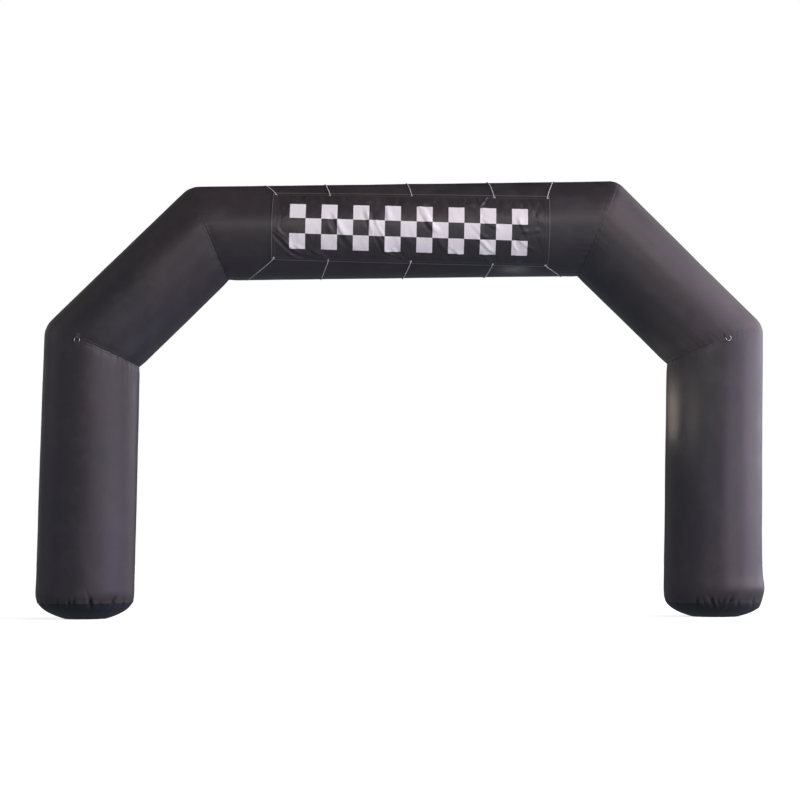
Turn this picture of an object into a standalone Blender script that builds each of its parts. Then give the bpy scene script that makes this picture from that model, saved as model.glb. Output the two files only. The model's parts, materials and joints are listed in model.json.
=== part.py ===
"""Inflatable start arch for a road or trail event.

Five air-filled fabric tubes are sewn end to end on mitred seams: a leg, a slanting arm, the
crossbeam, the other arm and the other leg. Each leg stands on a gathered, dished foot panel that
the weight presses flat in its middle. A banner is laced round the crossbeam: every eyelet of its
upper edge has one cord that runs over the back of the tube to the eyelet below it. A webbing
tab on the front of each shoulder seam holds a D-ring for a guy line.

Units are metres, +Z is up, the arch spans X and its front faces -Y.
"""

import bmesh
import bpy
from math import atan2, cos, degrees, exp, hypot, pi, radians, sin
from mathutils import Matrix, Vector

# ---------------------------------------------------------------- driving dimensions

TUBE_RADIUS = 0.403
FOOT_LEFT_X = -2.661
FOOT_RIGHT_X = 2.588
SHOULDER_LEFT = (-2.632, 2.291)
SHOULDER_RIGHT = (2.667, 2.291)
CROWN_LEFT = (-1.642, 3.271)
CROWN_RIGHT = (1.682, 3.300)

FIT_GAP = 0.0003
TUBE_SIDES = 48
SETTLING_ROUNDS = 3
SEAM_STATIONS = (0.0, 0.018, 0.042, 0.075, 0.14)
FOOT_SEAM_STATIONS = (0.0, 0.033, 0.07, 0.12, 0.19, 0.28)

# The outer side of a mitre rounds off over this radius; the inner side is drawn into the seam.
CORNER_RADIUS = 0.16
CORNER_NARROWING = 1.5
MITRE_TURN = radians(45)
SEAM_PINCH = 0.003
INNER_CREASE = 0.007
SEAM_REACH = 0.035

# How full each panel is along its length: (fraction of the length, radius factor).
FULLNESS = {
    "leg_left": ((0.0, 1.008), (0.5, 1.011), (0.85, 1.006), (1.0, 1.0)),
    "arm_left": ((0.0, 1.0), (0.4, 1.003), (0.7, 1.0), (1.0, 1.0)),
    "crossbeam": ((0.0, 1.0), (0.96, 1.0), (1.0, 1.016)),
    "arm_right": ((0.0, 1.016), (0.2, 1.0), (0.45, 1.002), (0.70, 0.989), (1.0, 1.0)),
    "leg_right": ((0.0, 1.0), (0.5, 1.0), (1.0, 1.0)),
}

# Outline of each foot: (height, radius towards the walkway, radius away from it).
FOOT_OUTLINE = {
    "left": (
        (0.000, 0.178, 0.160),
        (0.015, 0.233, 0.203),
        (0.032, 0.277, 0.251),
        (0.065, 0.341, 0.321),
        (0.098, 0.375, 0.358),
        (0.130, 0.396, 0.385),
        (0.163, 0.403, 0.398),
        (0.200, 0.406, 0.406),
        (0.320, 0.403, 0.403),
    ),
    "right": (
        (0.000, 0.165, 0.210),
        (0.015, 0.216, 0.272),
        (0.039, 0.284, 0.336),
        (0.072, 0.338, 0.388),
        (0.105, 0.373, 0.402),
        (0.138, 0.394, 0.411),
        (0.171, 0.401, 0.421),
        (0.240, 0.404, 0.433),
        (0.300, 0.403, 0.420),
        (0.380, 0.403, 0.407),
        (0.460, 0.403, 0.403),
    ),
}
FOOT_SEAM_HEIGHT = {"left": 0.130, "right": 0.117}
FOOT_TOP_RING = 0.012

# Gathers along the foot seam: (bearing from the front towards +X in degrees, depth, half width).
FOOT_GATHERS = {
    "left": (
        (-49, 0.005, 7),
        (-23, 0.004, 5),
        (-7, 0.010, 6),
        (18, 0.008, 5),
        (47, 0.012, 6),
        (84, 0.006, 8),
        (121, 0.007, 7),
        (159, 0.009, 6),
        (-169, 0.006, 7),
        (-135, 0.010, 6),
        (-91, 0.006, 8),
    ),
    "right": (
        (-81, 0.005, 8),
        (-30, 0.009, 5),
        (-11, 0.014, 5),
        (1, 0.006, 4),
        (11, 0.012, 5),
        (44, 0.006, 7),
        (82, 0.007, 8),
        (118, 0.009, 6),
        (152, 0.006, 6),
        (-166, 0.011, 6),
        (-122, 0.007, 7),
    ),
}
GATHER_RISE = 0.055
GATHER_FALL = 0.040

# Banner: corners as (place along X, angle above the front line of the crossbeam in degrees).
BANNER_TOP_LEFT = (-1.068, 42.5)
BANNER_TOP_RIGHT = (1.247, 30.3)
BANNER_BOTTOM_LEFT = (-1.090, -45.3)
BANNER_BOTTOM_RIGHT = (1.234, -62.0)
BANNER_THICKNESS = 0.002
BANNER_STANDOFF = 0.006
BANNER_CELLS_ALONG = 46
BANNER_CELLS_UP = 12

# Drag folds: (start along, start up, end along, end up, height, half width), the first four as
# fractions of the banner from its lower left corner, the last two in metres.
BANNER_FOLDS = (
    (0.01, 0.40, 0.15, 0.05, 0.010, 0.024),
    (0.05, 0.20, 0.10, 0.06, 0.007, 0.022),
    (0.07, 0.30, 0.20, 0.04, 0.008, 0.022),
    (0.22, 0.66, 0.30, 0.22, 0.010, 0.028),
    (0.35, 0.72, 0.41, 0.24, 0.011, 0.028),
    (0.42, 0.22, 0.50, 0.04, 0.008, 0.022),
    (0.52, 0.92, 0.60, 0.50, 0.011, 0.028),
    (0.70, 0.50, 0.79, 0.12, 0.009, 0.026),
    (0.76, 0.92, 0.80, 0.62, 0.009, 0.024),
    (0.88, 0.68, 0.93, 0.30, 0.009, 0.026),
)
FOLD_END = 0.05

# Eyelets: in the middle of the banner's flat hem strip; the middle ones of a row lie at these
# fractions of its length.
HEM_WIDTH = 0.040
EYELET_INSET = HEM_WIDTH / 2
MIDDLE_EYELETS = (0.205, 0.502, 0.799)
EYELET_HOLE_RADIUS = 0.0052
EYELET_BARREL_RADIUS = 0.0068
EYELET_FLANGE_RADIUS = 0.0110
EYELET_FLANGE_THICKNESS = 0.0008
EYELET_STEPS = 12
CLOTH_HOLE_RADIUS = EYELET_BARREL_RADIUS + FIT_GAP
HOLE_CUTTER_DEPTH = 8 * BANNER_THICKNESS

# Lacing cords, left to right. Each row tells how far the cord lies to the side of its eyelets
# (over the top, at the back, below): positive is towards +X.
CORD_DIAMETER = 0.006
CORD_SWAY = (
    (-0.105, -0.300, -0.240),
    (-0.048, -0.110, -0.072),
    (-0.040, -0.100, -0.060),
    (-0.038, -0.090, -0.050),
    (0.080, 0.200, 0.135),
)
CORD_TOP_ANGLE = 74
CORD_BACK_ANGLE = 180
CORD_LOW_ANGLE = 272
CORD_POINTS_ROUND = 34
# Over the banner's edge and down to the tube: (arc from the eyelet, share of the height kept).
CORD_DESCENT = ((0.012, 1.0), (0.024, 1.0), (0.036, 0.72), (0.048, 0.30), (0.060, 0.0))
CORD_BEND_RADIUS = 0.0055
CORD_BEND_POINTS = 4
CORD_TAIL = 0.0035
CORD_START_TURN = 2

# D-rings and the webbing tabs that hold them, at the front of the shoulder seams.
RING_OFFSET_X = {"left": -0.046, "right": 0.028}
RING_TILT = {"left": radians(-10), "right": radians(22)}
RING_WIRE = 0.005
RING_INNER_WIDTH = 0.038
RING_SIDE = 0.012
RING_ARC_POINTS = 13
TAB_WIDTH = 0.034
TAB_HEIGHT = 0.042
TAB_THICKNESS = 0.002
TAB_BLEND = 0.012
TAB_ARC_POINTS = 9
TAB_SLACK = 0.0004
# The fabric under a tab is drawn in by its seam, so the tab's back lies inside the full tube.
TAB_SINK = {"left": 0.0008, "right": 0.0012}

COLOURS = {
    "tube_fabric": ((0.052, 0.048, 0.054, 1.0), 0.50, 0.0),
    "foot_fabric": ((0.020, 0.024, 0.030, 1.0), 0.55, 0.0),
    "banner_fabric": ((0.056, 0.052, 0.058, 1.0), 0.45, 0.0),
    "lacing_cord": ((0.62, 0.61, 0.60, 1.0), 0.60, 0.0),
    "nickel": ((0.62, 0.61, 0.60, 1.0), 0.25, 1.0),
    "black_webbing": ((0.020, 0.020, 0.024, 1.0), 0.75, 0.0),
}

FRONT = Vector((0, -1, 0))


# ---------------------------------------------------------------- scene and helpers


def clear_scene():
    for obj in list(bpy.data.objects):
        bpy.data.objects.remove(obj, do_unlink=True)


def make_collection(name):
    collection = bpy.data.collections.new(name)
    bpy.context.scene.collection.children.link(collection)
    return collection


def make_material(name):
    colour, roughness, metallic = COLOURS[name]
    material = bpy.data.materials.new(name)
    material.use_nodes = True
    shader = material.node_tree.nodes["Principled BSDF"]
    shader.inputs["Base Color"].default_value = colour
    shader.inputs["Roughness"].default_value = roughness
    shader.inputs["Metallic"].default_value = metallic
    material.diffuse_color = colour
    return material


def add_object(name, data, collection, material, parent):
    obj = bpy.data.objects.new(name, data)
    data.materials.append(material)
    collection.objects.link(obj)
    obj.parent = parent
    return obj


def mesh_from(name, bm, sharp_angle=radians(40)):
    mesh = bpy.data.meshes.new(name)
    bmesh.ops.recalc_face_normals(bm, faces=bm.faces)
    if bm.calc_volume(signed=True) < 0:
        bmesh.ops.reverse_faces(bm, faces=bm.faces)
    bm.to_mesh(mesh)
    bm.free()
    mesh.shade_smooth()
    mesh.set_sharp_from_angle(angle=sharp_angle)
    return mesh


def read_table(rows, position, column=1):
    """Value of one column at a position in the first column, on a straight line between rows."""
    if position <= rows[0][0]:
        return rows[0][column]
    for low, high in zip(rows, rows[1:]):
        if position <= high[0]:
            share = (position - low[0]) / (high[0] - low[0])
            return low[column] + share * (high[column] - low[column])
    return rows[-1][column]


def smooth_through(points, position):
    """Value at a position on a smooth curve through (position, value) points."""
    last = len(points) - 1
    slopes = []
    for i in range(last + 1):
        a, b = points[max(i - 1, 0)], points[min(i + 1, last)]
        slopes.append((b[1] - a[1]) / (b[0] - a[0]))
    i = 0
    while i < last - 1 and position > points[i + 1][0]:
        i += 1
    (p0, v0), (p1, v1) = points[i], points[i + 1]
    span = p1 - p0
    t = (position - p0) / span
    rise = (2 * t**3 - 3 * t**2 + 1) * v0 + (3 * t**2 - 2 * t**3) * v1
    return rise + span * ((t**3 - 2 * t**2 + t) * slopes[i] + (t**3 - t**2) * slopes[i + 1])


# ---------------------------------------------------------------- tube panels


def on_plane_y0(place):
    return Vector((place[0], 0.0, place[1]))


class Panel:
    """One tube panel: a straight run of fabric tube between two flat cuts."""

    def __init__(self, name, start, end, start_cut, end_cut, start_is_foot=False, end_is_foot=False):
        self.name = name
        self.start = start
        self.along = (end - start).normalized()
        self.outward = Vector((-self.along.z, 0.0, self.along.x))
        self.start_cut = start_cut
        self.end_cut = end_cut
        self.end = end
        self.start_is_foot = start_is_foot
        self.end_is_foot = end_is_foot

    def direction(self, angle):
        """Unit vector away from the axis: 0 is the arch's outer side, 90 degrees its front."""
        return self.outward * cos(angle) + FRONT * sin(angle)

    def cut_distances(self, rim):
        """Where the generator through rim crosses the start cut and the end cut."""
        distances = []
        for (place, normal) in (self.start_cut, self.end_cut):
            distances.append((place - rim).dot(normal) / self.along.dot(normal))
        return distances

    def row_distance(self, radius, direction, row):
        """Distances along the generator: of a row, of the start cut and of the end cut."""
        fraction, from_start, from_end = row
        low, high = self.cut_distances(self.start + direction * radius)
        if from_start is not None:
            return low + from_start, low, high
        if from_end is not None:
            return high - from_end, low, high
        return low + fraction * (high - low), low, high


def corner_drop(angle, distance):
    """How far the outer side of a mitre falls inside the straight tube, to round the corner."""
    reach = CORNER_RADIUS * (1 - cos(MITRE_TURN)) / sin(MITRE_TURN)
    if distance >= reach:
        return 0.0
    share = max(cos(angle), 0.0) ** CORNER_NARROWING
    return share * (reach - distance) ** 2 / (2 * CORNER_RADIUS)


def seam_draw(angle, distance):
    """How far the sewn seam pulls the fabric in; most in the crease on the inner side."""
    inner = ((1 - cos(angle)) / 2) ** 3
    depth = SEAM_PINCH + (INNER_CREASE - SEAM_PINCH) * inner
    return depth * exp(-((distance / SEAM_REACH) ** 2))


def bearing(direction):
    """Bearing of a horizontal direction, in degrees from the front towards +X."""
    return degrees(atan2(direction.x, -direction.y))


def gather_depth(side, degrees_round, rise):
    """Depth of the foot seam's gathers at a bearing, at a height above (or below) the seam."""
    reach = GATHER_RISE if rise > 0 else GATHER_FALL
    depth = 0.0
    for (middle, amount, half_width) in FOOT_GATHERS[side]:
        away = (degrees_round - middle + 180) % 360 - 180
        depth += amount * exp(-0.5 * (away / half_width) ** 2)
    return depth * exp(-abs(rise) / reach)


def foot_radius(side, height, direction):
    """Radius of the foot at a height, in a horizontal direction from the leg's axis."""
    outwards = direction.x if side == "right" else -direction.x
    inner = read_table(FOOT_OUTLINE[side], height, 1)
    outer = read_table(FOOT_OUTLINE[side], height, 2)
    radius = (inner + outer) / 2 + (outer - inner) / 2 * outwards
    gathered = gather_depth(side, bearing(direction), height - FOOT_SEAM_HEIGHT[side])
    resting = min(1.0, height / FOOT_SEAM_HEIGHT[side])
    return radius - gathered * resting


def mitre_cut(place, before, after):
    normal = (before.normalized() + after.normalized()).normalized()
    return (place, normal)


def make_panels():
    """The five panels in order from the left foot to the right foot."""
    seam_left = FOOT_SEAM_HEIGHT["left"]
    seam_right = FOOT_SEAM_HEIGHT["right"]
    floor_left = Vector((FOOT_LEFT_X, 0.0, 0.0))
    floor_right = Vector((FOOT_RIGHT_X, 0.0, 0.0))
    corners = [on_plane_y0(c) for c in (SHOULDER_LEFT, CROWN_LEFT, CROWN_RIGHT, SHOULDER_RIGHT)]
    places = [floor_left] + corners + [floor_right]
    runs = [b - a for a, b in zip(places, places[1:])]
    cuts = [(Vector((0.0, 0.0, seam_left)), Vector((0.0, 0.0, 1.0)))]
    for place, before, after in zip(corners, runs, runs[1:]):
        cuts.append(mitre_cut(place, before, after))
    cuts.append((Vector((0.0, 0.0, seam_right)), Vector((0.0, 0.0, -1.0))))
    names = ("leg_left", "arm_left", "crossbeam", "arm_right", "leg_right")
    panels = {}
    for i, name in enumerate(names):
        half_gap = FIT_GAP / 2
        start_cut = (cuts[i][0] + cuts[i][1] * half_gap, cuts[i][1])
        end_cut = (cuts[i + 1][0] - cuts[i + 1][1] * half_gap, cuts[i + 1][1])
        panels[name] = Panel(
            name,
            places[i],
            places[i + 1],
            start_cut,
            end_cut,
            start_is_foot=(i == 0),
            end_is_foot=(i == len(names) - 1),
        )
    return panels


def panel_point(panel, angle, row):
    """Point on a panel's skin. A row is its fraction of the panel's length and, where it keeps a
    fixed distance from a cut, its distance from the start cut or from the end cut."""
    direction = panel.direction(angle)
    level = Vector((direction.x, direction.y, 0.0)).normalized()
    full = TUBE_RADIUS * read_table(FULLNESS[panel.name], row[0])
    radius = full
    for _ in range(SETTLING_ROUNDS):
        distance, low, high = panel.row_distance(radius, direction, row)
        height = (panel.start + direction * radius + panel.along * distance).z
        radius = full
        if panel.start_is_foot:
            radius -= TUBE_RADIUS - foot_radius("left", height, level)
        else:
            radius -= corner_drop(angle, distance - low) + seam_draw(angle, distance - low)
        if panel.end_is_foot:
            radius -= TUBE_RADIUS - foot_radius("right", height, level)
        else:
            radius -= corner_drop(angle, high - distance) + seam_draw(angle, high - distance)
    distance, low, high = panel.row_distance(radius, direction, row)
    return panel.start + direction * radius + panel.along * distance


def panel_rows(panel, middle_rows):
    """Rows of the panel as (fraction, distance from the start cut, distance from the end cut)."""
    length = (panel.end - panel.start).length
    first = FOOT_SEAM_STATIONS if panel.start_is_foot else SEAM_STATIONS
    last = FOOT_SEAM_STATIONS if panel.end_is_foot else SEAM_STATIONS
    rows = [(d / length, d, None) for d in first]
    low = first[-1] / length
    high = 1 - last[-1] / length
    for i in range(1, middle_rows + 1):
        rows.append((low + (high - low) * i / (middle_rows + 1), None, None))
    rows += [(1 - d / length, None, d) for d in reversed(last)]
    return rows


def add_panel(panel, middle_rows, collection, material, parent):
    """A cylinder cut into rings, whose rings are then laid on the panel's own shape."""
    rows = panel_rows(panel, middle_rows)
    bm = bmesh.new()
    bmesh.ops.create_cone(
        bm, cap_ends=True, segments=TUBE_SIDES, radius1=1.0, radius2=1.0, depth=len(rows) - 1
    )
    bmesh.ops.translate(bm, verts=bm.verts, vec=(0.0, 0.0, (len(rows) - 1) / 2))
    for ring in range(1, len(rows) - 1):
        whole = bm.verts[:] + bm.edges[:] + bm.faces[:]
        bmesh.ops.bisect_plane(bm, geom=whole, plane_co=(0, 0, ring), plane_no=(0, 0, 1))
    for vert in bm.verts:
        vert.co = panel_point(panel, atan2(vert.co.y, vert.co.x), rows[round(vert.co.z)])
    return add_object(panel.name, mesh_from(panel.name, bm), collection, material, parent)


def add_foot(side, panel, collection, material, parent):
    """The dished end panel under a leg, from the floor up to the gathered seam."""
    seam = FOOT_SEAM_HEIGHT[side] - FIT_GAP / 2
    heights = [row[0] for row in FOOT_OUTLINE[side] if row[0] < seam - FOOT_TOP_RING]
    heights += [seam - FOOT_TOP_RING, seam]
    floor = Vector((FOOT_LEFT_X if side == "left" else FOOT_RIGHT_X, 0.0, 0.0))
    bm = bmesh.new()
    bmesh.ops.create_cone(
        bm, cap_ends=True, segments=TUBE_SIDES, radius1=1.0, radius2=1.0, depth=len(heights) - 1
    )
    bmesh.ops.translate(bm, verts=bm.verts, vec=(0.0, 0.0, (len(heights) - 1) / 2))
    for ring in range(1, len(heights) - 1):
        whole = bm.verts[:] + bm.edges[:] + bm.faces[:]
        bmesh.ops.bisect_plane(bm, geom=whole, plane_co=(0, 0, ring), plane_no=(0, 0, 1))
    lean = panel.along.x / panel.along.z
    for vert in bm.verts:
        height = heights[round(vert.co.z)]
        direction = Vector((vert.co.x, vert.co.y, 0.0)).normalized()
        radius = foot_radius(side, height, direction)
        vert.co = floor + Vector((lean * height, 0.0, height)) + direction * radius
    name = "foot_" + side
    return add_object(name, mesh_from(name, bm), collection, material, parent)


# ---------------------------------------------------------------- places on the crossbeam


def beam_place(panels, x, angle, standoff):
    """Point at a standoff from the crossbeam's skin, at x, angle degrees above its front line."""
    beam = panels["crossbeam"]
    share = (x - beam.start.x) / (beam.end.x - beam.start.x)
    centre = beam.start + (beam.end - beam.start) * share
    radius = TUBE_RADIUS * read_table(FULLNESS["crossbeam"], share) + standoff
    turn = radians(angle)
    return centre + FRONT * (radius * cos(turn)) + beam.outward * (radius * sin(turn))


def beam_outward(panels, angle):
    turn = radians(angle)
    return FRONT * cos(turn) + panels["crossbeam"].outward * sin(turn)


def banner_place(along, up):
    """(x, angle) of a point of the banner given as fractions from its lower left corner."""
    x_low = BANNER_BOTTOM_LEFT[0] + along * (BANNER_BOTTOM_RIGHT[0] - BANNER_BOTTOM_LEFT[0])
    x_high = BANNER_TOP_LEFT[0] + along * (BANNER_TOP_RIGHT[0] - BANNER_TOP_LEFT[0])
    a_low = BANNER_BOTTOM_LEFT[1] + along * (BANNER_BOTTOM_RIGHT[1] - BANNER_BOTTOM_LEFT[1])
    a_high = BANNER_TOP_LEFT[1] + along * (BANNER_TOP_RIGHT[1] - BANNER_TOP_LEFT[1])
    return x_low + up * (x_high - x_low), a_low + up * (a_high - a_low)


def banner_size():
    """Length and height of the banner when laid flat."""
    length = BANNER_TOP_RIGHT[0] - BANNER_TOP_LEFT[0]
    turn = (BANNER_TOP_LEFT[1] - BANNER_BOTTOM_LEFT[1] + BANNER_TOP_RIGHT[1] - BANNER_BOTTOM_RIGHT[1]) / 2
    return length, radians(turn) * (TUBE_RADIUS + BANNER_STANDOFF)


def fold_height(along, up):
    """How far the drag folds lift the banner off its even curve; nothing at the very edges."""
    length, height = banner_size()
    lift = 0.0
    for (along0, up0, along1, up1, crest, half_width) in BANNER_FOLDS:
        run = Vector(((along1 - along0) * length, (up1 - up0) * height))
        here = Vector(((along - along0) * length, (up - up0) * height))
        t = here.dot(run) / run.length_squared
        aside = abs(here.x * run.y - here.y * run.x) / run.length
        beyond = max(-t, t - 1, 0.0) * run.length
        lift += crest * exp(-((aside / half_width) ** 2)) * exp(-((beyond / FOLD_END) ** 2))
    edge = min(along * length, (1 - along) * length, up * height, (1 - up) * height)
    return lift * min(1.0, max(0.0, (edge - HEM_WIDTH) / FOLD_END))


# ---------------------------------------------------------------- banner, eyelets and cords


def eyelet_fractions():
    """Fractions (along, up) of the eyelets' centres, upper row first, each left to right."""
    length, height = banner_size()
    side = EYELET_INSET / length
    rise = EYELET_INSET / height
    row = (side,) + MIDDLE_EYELETS + (1 - side,)
    return [(along, 1 - rise) for along in row], [(along, rise) for along in row]


def banner_row(step):
    """Fraction up the banner of one of its rows: a flat hem strip at each edge, even between."""
    hem = HEM_WIDTH / banner_size()[1]
    if step == 0:
        return 0.0
    if step == BANNER_CELLS_UP:
        return 1.0
    return hem + (1 - 2 * hem) * (step - 1) / (BANNER_CELLS_UP - 2)


def hem_standoff():
    """Standoff at the middle of the flat hem strip, which lies a little inside its own edges."""
    radius = TUBE_RADIUS + BANNER_STANDOFF
    return BANNER_STANDOFF - radius * (1 - cos(EYELET_INSET / radius))


def frame_on_beam(panels, x, angle, standoff):
    """Matrix whose Z axis points out of the crossbeam's skin at a place on it."""
    outward = beam_outward(panels, angle)
    along = panels["crossbeam"].along
    third = outward.cross(along)
    place = beam_place(panels, x, angle, standoff)
    turn = Matrix((along, third, outward)).transposed().to_4x4()
    return Matrix.Translation(place) @ turn


def add_banner(panels, collection, cutters, material, parent):
    """A flat grid wrapped on the crossbeam, lifted in its folds, thickened, then holed."""
    bm = bmesh.new()
    bmesh.ops.create_grid(
        bm, x_segments=BANNER_CELLS_ALONG, y_segments=BANNER_CELLS_UP, size=0.5
    )
    for vert in bm.verts:
        along = vert.co.x + 0.5
        up = banner_row(round((vert.co.y + 0.5) * BANNER_CELLS_UP))
        x, angle = banner_place(along, up)
        vert.co = beam_place(panels, x, angle, BANNER_STANDOFF + fold_height(along, up))
    mesh = bpy.data.meshes.new("banner")
    bm.normal_update()
    outwards = sum(face.normal.dot(FRONT) for face in bm.faces)
    if outwards < 0:
        bmesh.ops.reverse_faces(bm, faces=bm.faces)
    bm.to_mesh(mesh)
    bm.free()
    mesh.shade_smooth()
    banner = add_object("banner", mesh, collection, material, parent)
    wall = banner.modifiers.new("cloth thickness", "SOLIDIFY")
    wall.thickness = BANNER_THICKNESS
    wall.offset = 0.0
    for row in eyelet_fractions():
        for (along, up) in row:
            x, angle = banner_place(along, up)
            cutter_bm = bmesh.new()
            bmesh.ops.create_cone(
                cutter_bm,
                cap_ends=True,
                segments=EYELET_STEPS,
                radius1=CLOTH_HOLE_RADIUS,
                radius2=CLOTH_HOLE_RADIUS,
                depth=HOLE_CUTTER_DEPTH,
                matrix=frame_on_beam(panels, x, angle, hem_standoff()),
            )
            cutter_mesh = bpy.data.meshes.new("eyelet_hole")
            cutter_bm.to_mesh(cutter_mesh)
            cutter_bm.free()
            cutter = bpy.data.objects.new("eyelet_hole", cutter_mesh)
            cutters.objects.link(cutter)
            cutter.parent = parent
            cutter.hide_render = True
            cutter.display_type = "WIRE"
            hole = banner.modifiers.new("eyelet hole", "BOOLEAN")
            hole.operation = "DIFFERENCE"
            hole.solver = "EXACT"
            hole.object = cutter
    return banner


def eyelet_mesh():
    """A turned eyelet: a barrel through the cloth with a flange on either side of it."""
    inner = BANNER_THICKNESS / 2 + FIT_GAP
    outer = inner + EYELET_FLANGE_THICKNESS
    profile = (
        (EYELET_HOLE_RADIUS, outer),
        (EYELET_FLANGE_RADIUS, outer),
        (EYELET_FLANGE_RADIUS, inner),
        (EYELET_BARREL_RADIUS, inner),
        (EYELET_BARREL_RADIUS, -inner),
        (EYELET_FLANGE_RADIUS, -inner),
        (EYELET_FLANGE_RADIUS, -outer),
        (EYELET_HOLE_RADIUS, -outer),
    )
    mesh = bpy.data.meshes.new("eyelet")
    count = len(profile)
    points = [(radius, 0.0, height) for radius, height in profile]
    mesh.from_pydata(points, [(i, (i + 1) % count) for i in range(count)], [])
    return mesh


def add_eyelet(name, panels, along, up, collection, material, parent):
    x, angle = banner_place(along, up)
    eyelet = add_object(name, eyelet_mesh(), collection, material, parent)
    eyelet.matrix_local = frame_on_beam(panels, x, angle, hem_standoff())
    turn = eyelet.modifiers.new("turned", "SCREW")
    turn.steps = EYELET_STEPS
    turn.render_steps = EYELET_STEPS
    turn.use_merge_vertices = True
    turn.merge_threshold = 0.0001
    turn.use_smooth_shade = False
    return eyelet


def cord_end_points(panels, place, towards, surface):
    """Points of a cord's end: along the cloth, round a bend and down into its eyelet.

    place is the eyelet's (x, angle), towards the unit step (along x, along the arc) in which the
    cord leaves it, surface the standoff at which the cord's middle lies on the eyelet's flange.
    """
    arc_radius = TUBE_RADIUS + BANNER_STANDOFF
    points = []
    low = surface - CORD_BEND_RADIUS
    steps = [(0.0, BANNER_STANDOFF - CORD_TAIL)]
    for i in range(CORD_BEND_POINTS + 1):
        turn = pi / 2 * i / CORD_BEND_POINTS
        steps.append((CORD_BEND_RADIUS * (1 - cos(turn)), low + CORD_BEND_RADIUS * sin(turn)))
    for (away, standoff) in steps:
        x = place[0] + towards[0] * away
        angle = place[1] + degrees(towards[1] * away / arc_radius)
        points.append(beam_place(panels, x, angle, standoff))
    return points


def cord_route(panels, upper, lower, sway):
    """Route of one lacing cord, from its upper eyelet over the back to its lower eyelet."""
    arc_radius = TUBE_RADIUS + BANNER_STANDOFF
    half = CORD_DIAMETER / 2
    on_tube = half + FIT_GAP
    flange_top = BANNER_STANDOFF + BANNER_THICKNESS / 2 + FIT_GAP + EYELET_FLANGE_THICKNESS
    on_flange = flange_top + FIT_GAP + half
    low_angle = lower[1] + 360
    top_sway, back_sway, low_sway = sway
    stations = (
        (upper[1], upper[0]),
        (CORD_TOP_ANGLE, upper[0] + top_sway),
        (CORD_BACK_ANGLE, (upper[0] + lower[0]) / 2 + back_sway),
        (CORD_LOW_ANGLE, lower[0] + low_sway),
        (low_angle, lower[0]),
    )
    ends = []
    for (place, from_angle, step) in ((upper, upper[1], 1.0), (lower, low_angle, -1.0)):
        ahead = smooth_through(stations, from_angle + step * CORD_START_TURN) - place[0]
        arc = step * radians(CORD_START_TURN) * arc_radius
        size = hypot(ahead, arc)
        ends.append(cord_end_points(panels, place, (ahead / size, arc / size), on_flange))
    shares = [degrees(arc / arc_radius) for arc, _ in CORD_DESCENT]
    first, last = upper[1] + shares[-1], low_angle - shares[-1]
    step = (last - first) / CORD_POINTS_ROUND
    on_tube += arc_radius * (1 - cos(radians(step / 2)))
    places = []
    for away, (_, kept) in zip(shares, CORD_DESCENT):
        places.append((upper[1] + away, on_tube + (on_flange - on_tube) * kept))
    places += [(first + step * i, on_tube) for i in range(1, CORD_POINTS_ROUND)]
    for away, (_, kept) in reversed(list(zip(shares, CORD_DESCENT))):
        places.append((low_angle - away, on_tube + (on_flange - on_tube) * kept))
    points = ends[0]
    for (angle, standoff) in places:
        points.append(beam_place(panels, smooth_through(stations, angle), angle, standoff))
    return points + list(reversed(ends[1]))


def add_cord(name, route, collection, material, parent):
    curve = bpy.data.curves.new(name, "CURVE")
    curve.dimensions = "3D"
    curve.bevel_depth = CORD_DIAMETER / 2
    curve.bevel_resolution = 2
    curve.use_fill_caps = True
    spline = curve.splines.new("POLY")
    spline.points.add(len(route) - 1)
    for point, place in zip(spline.points, route):
        point.co = (place.x, place.y, place.z, 1.0)
    return add_object(name, curve, collection, material, parent)


# ---------------------------------------------------------------- D-rings and tabs


def ring_frame(panels, side):
    """Matrix of the D-ring's bar: X along the bar, Y out of the fabric, Z up along the tab."""
    arm = panels["arm_" + side]
    shoulder = on_plane_y0(SHOULDER_LEFT if side == "left" else SHOULDER_RIGHT)
    cut_normal = arm.start_cut[1] if side == "left" else arm.end_cut[1]
    seam_rise = -cut_normal.x / cut_normal.z * RING_OFFSET_X[side]
    bar = shoulder + Vector((RING_OFFSET_X[side], 0.0, seam_rise))
    up = Vector((-sin(RING_TILT[side]), 0.0, cos(RING_TILT[side])))
    middle = bar + up * (TAB_HEIGHT / 2)
    aside = (middle - shoulder).dot(arm.outward)
    lean = aside / TUBE_RADIUS
    out = (FRONT * cos(lean) + arm.outward * sin(lean)).normalized()
    axis_point = shoulder + arm.along * (middle - shoulder).dot(arm.along)
    standoff = TUBE_RADIUS - TAB_SINK[side] + FIT_GAP
    up = (up - out * up.dot(out)).normalized()
    place = axis_point + out * standoff - up * (TAB_HEIGHT / 2)
    across = out.cross(up)
    turn = Matrix((across, out, up)).transposed().to_4x4()
    return Matrix.Translation(place) @ turn


def bar_standoff():
    """Distance of the bar's centre line from the tab's back face."""
    return TAB_THICKNESS + TAB_SLACK + RING_WIRE / 2


def tab_outline():
    """Side view of the folded tab as (out of the fabric, up) points."""
    bar = bar_standoff()
    turns = [pi + pi * i / (TAB_ARC_POINTS - 1) for i in range(TAB_ARC_POINTS)]
    points = [(bar + bar * cos(t), bar * sin(t)) for t in turns]
    points.append((2 * TAB_THICKNESS, TAB_BLEND))
    points.append((2 * TAB_THICKNESS, TAB_HEIGHT))
    points.append((0.0, TAB_HEIGHT))
    return points


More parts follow.
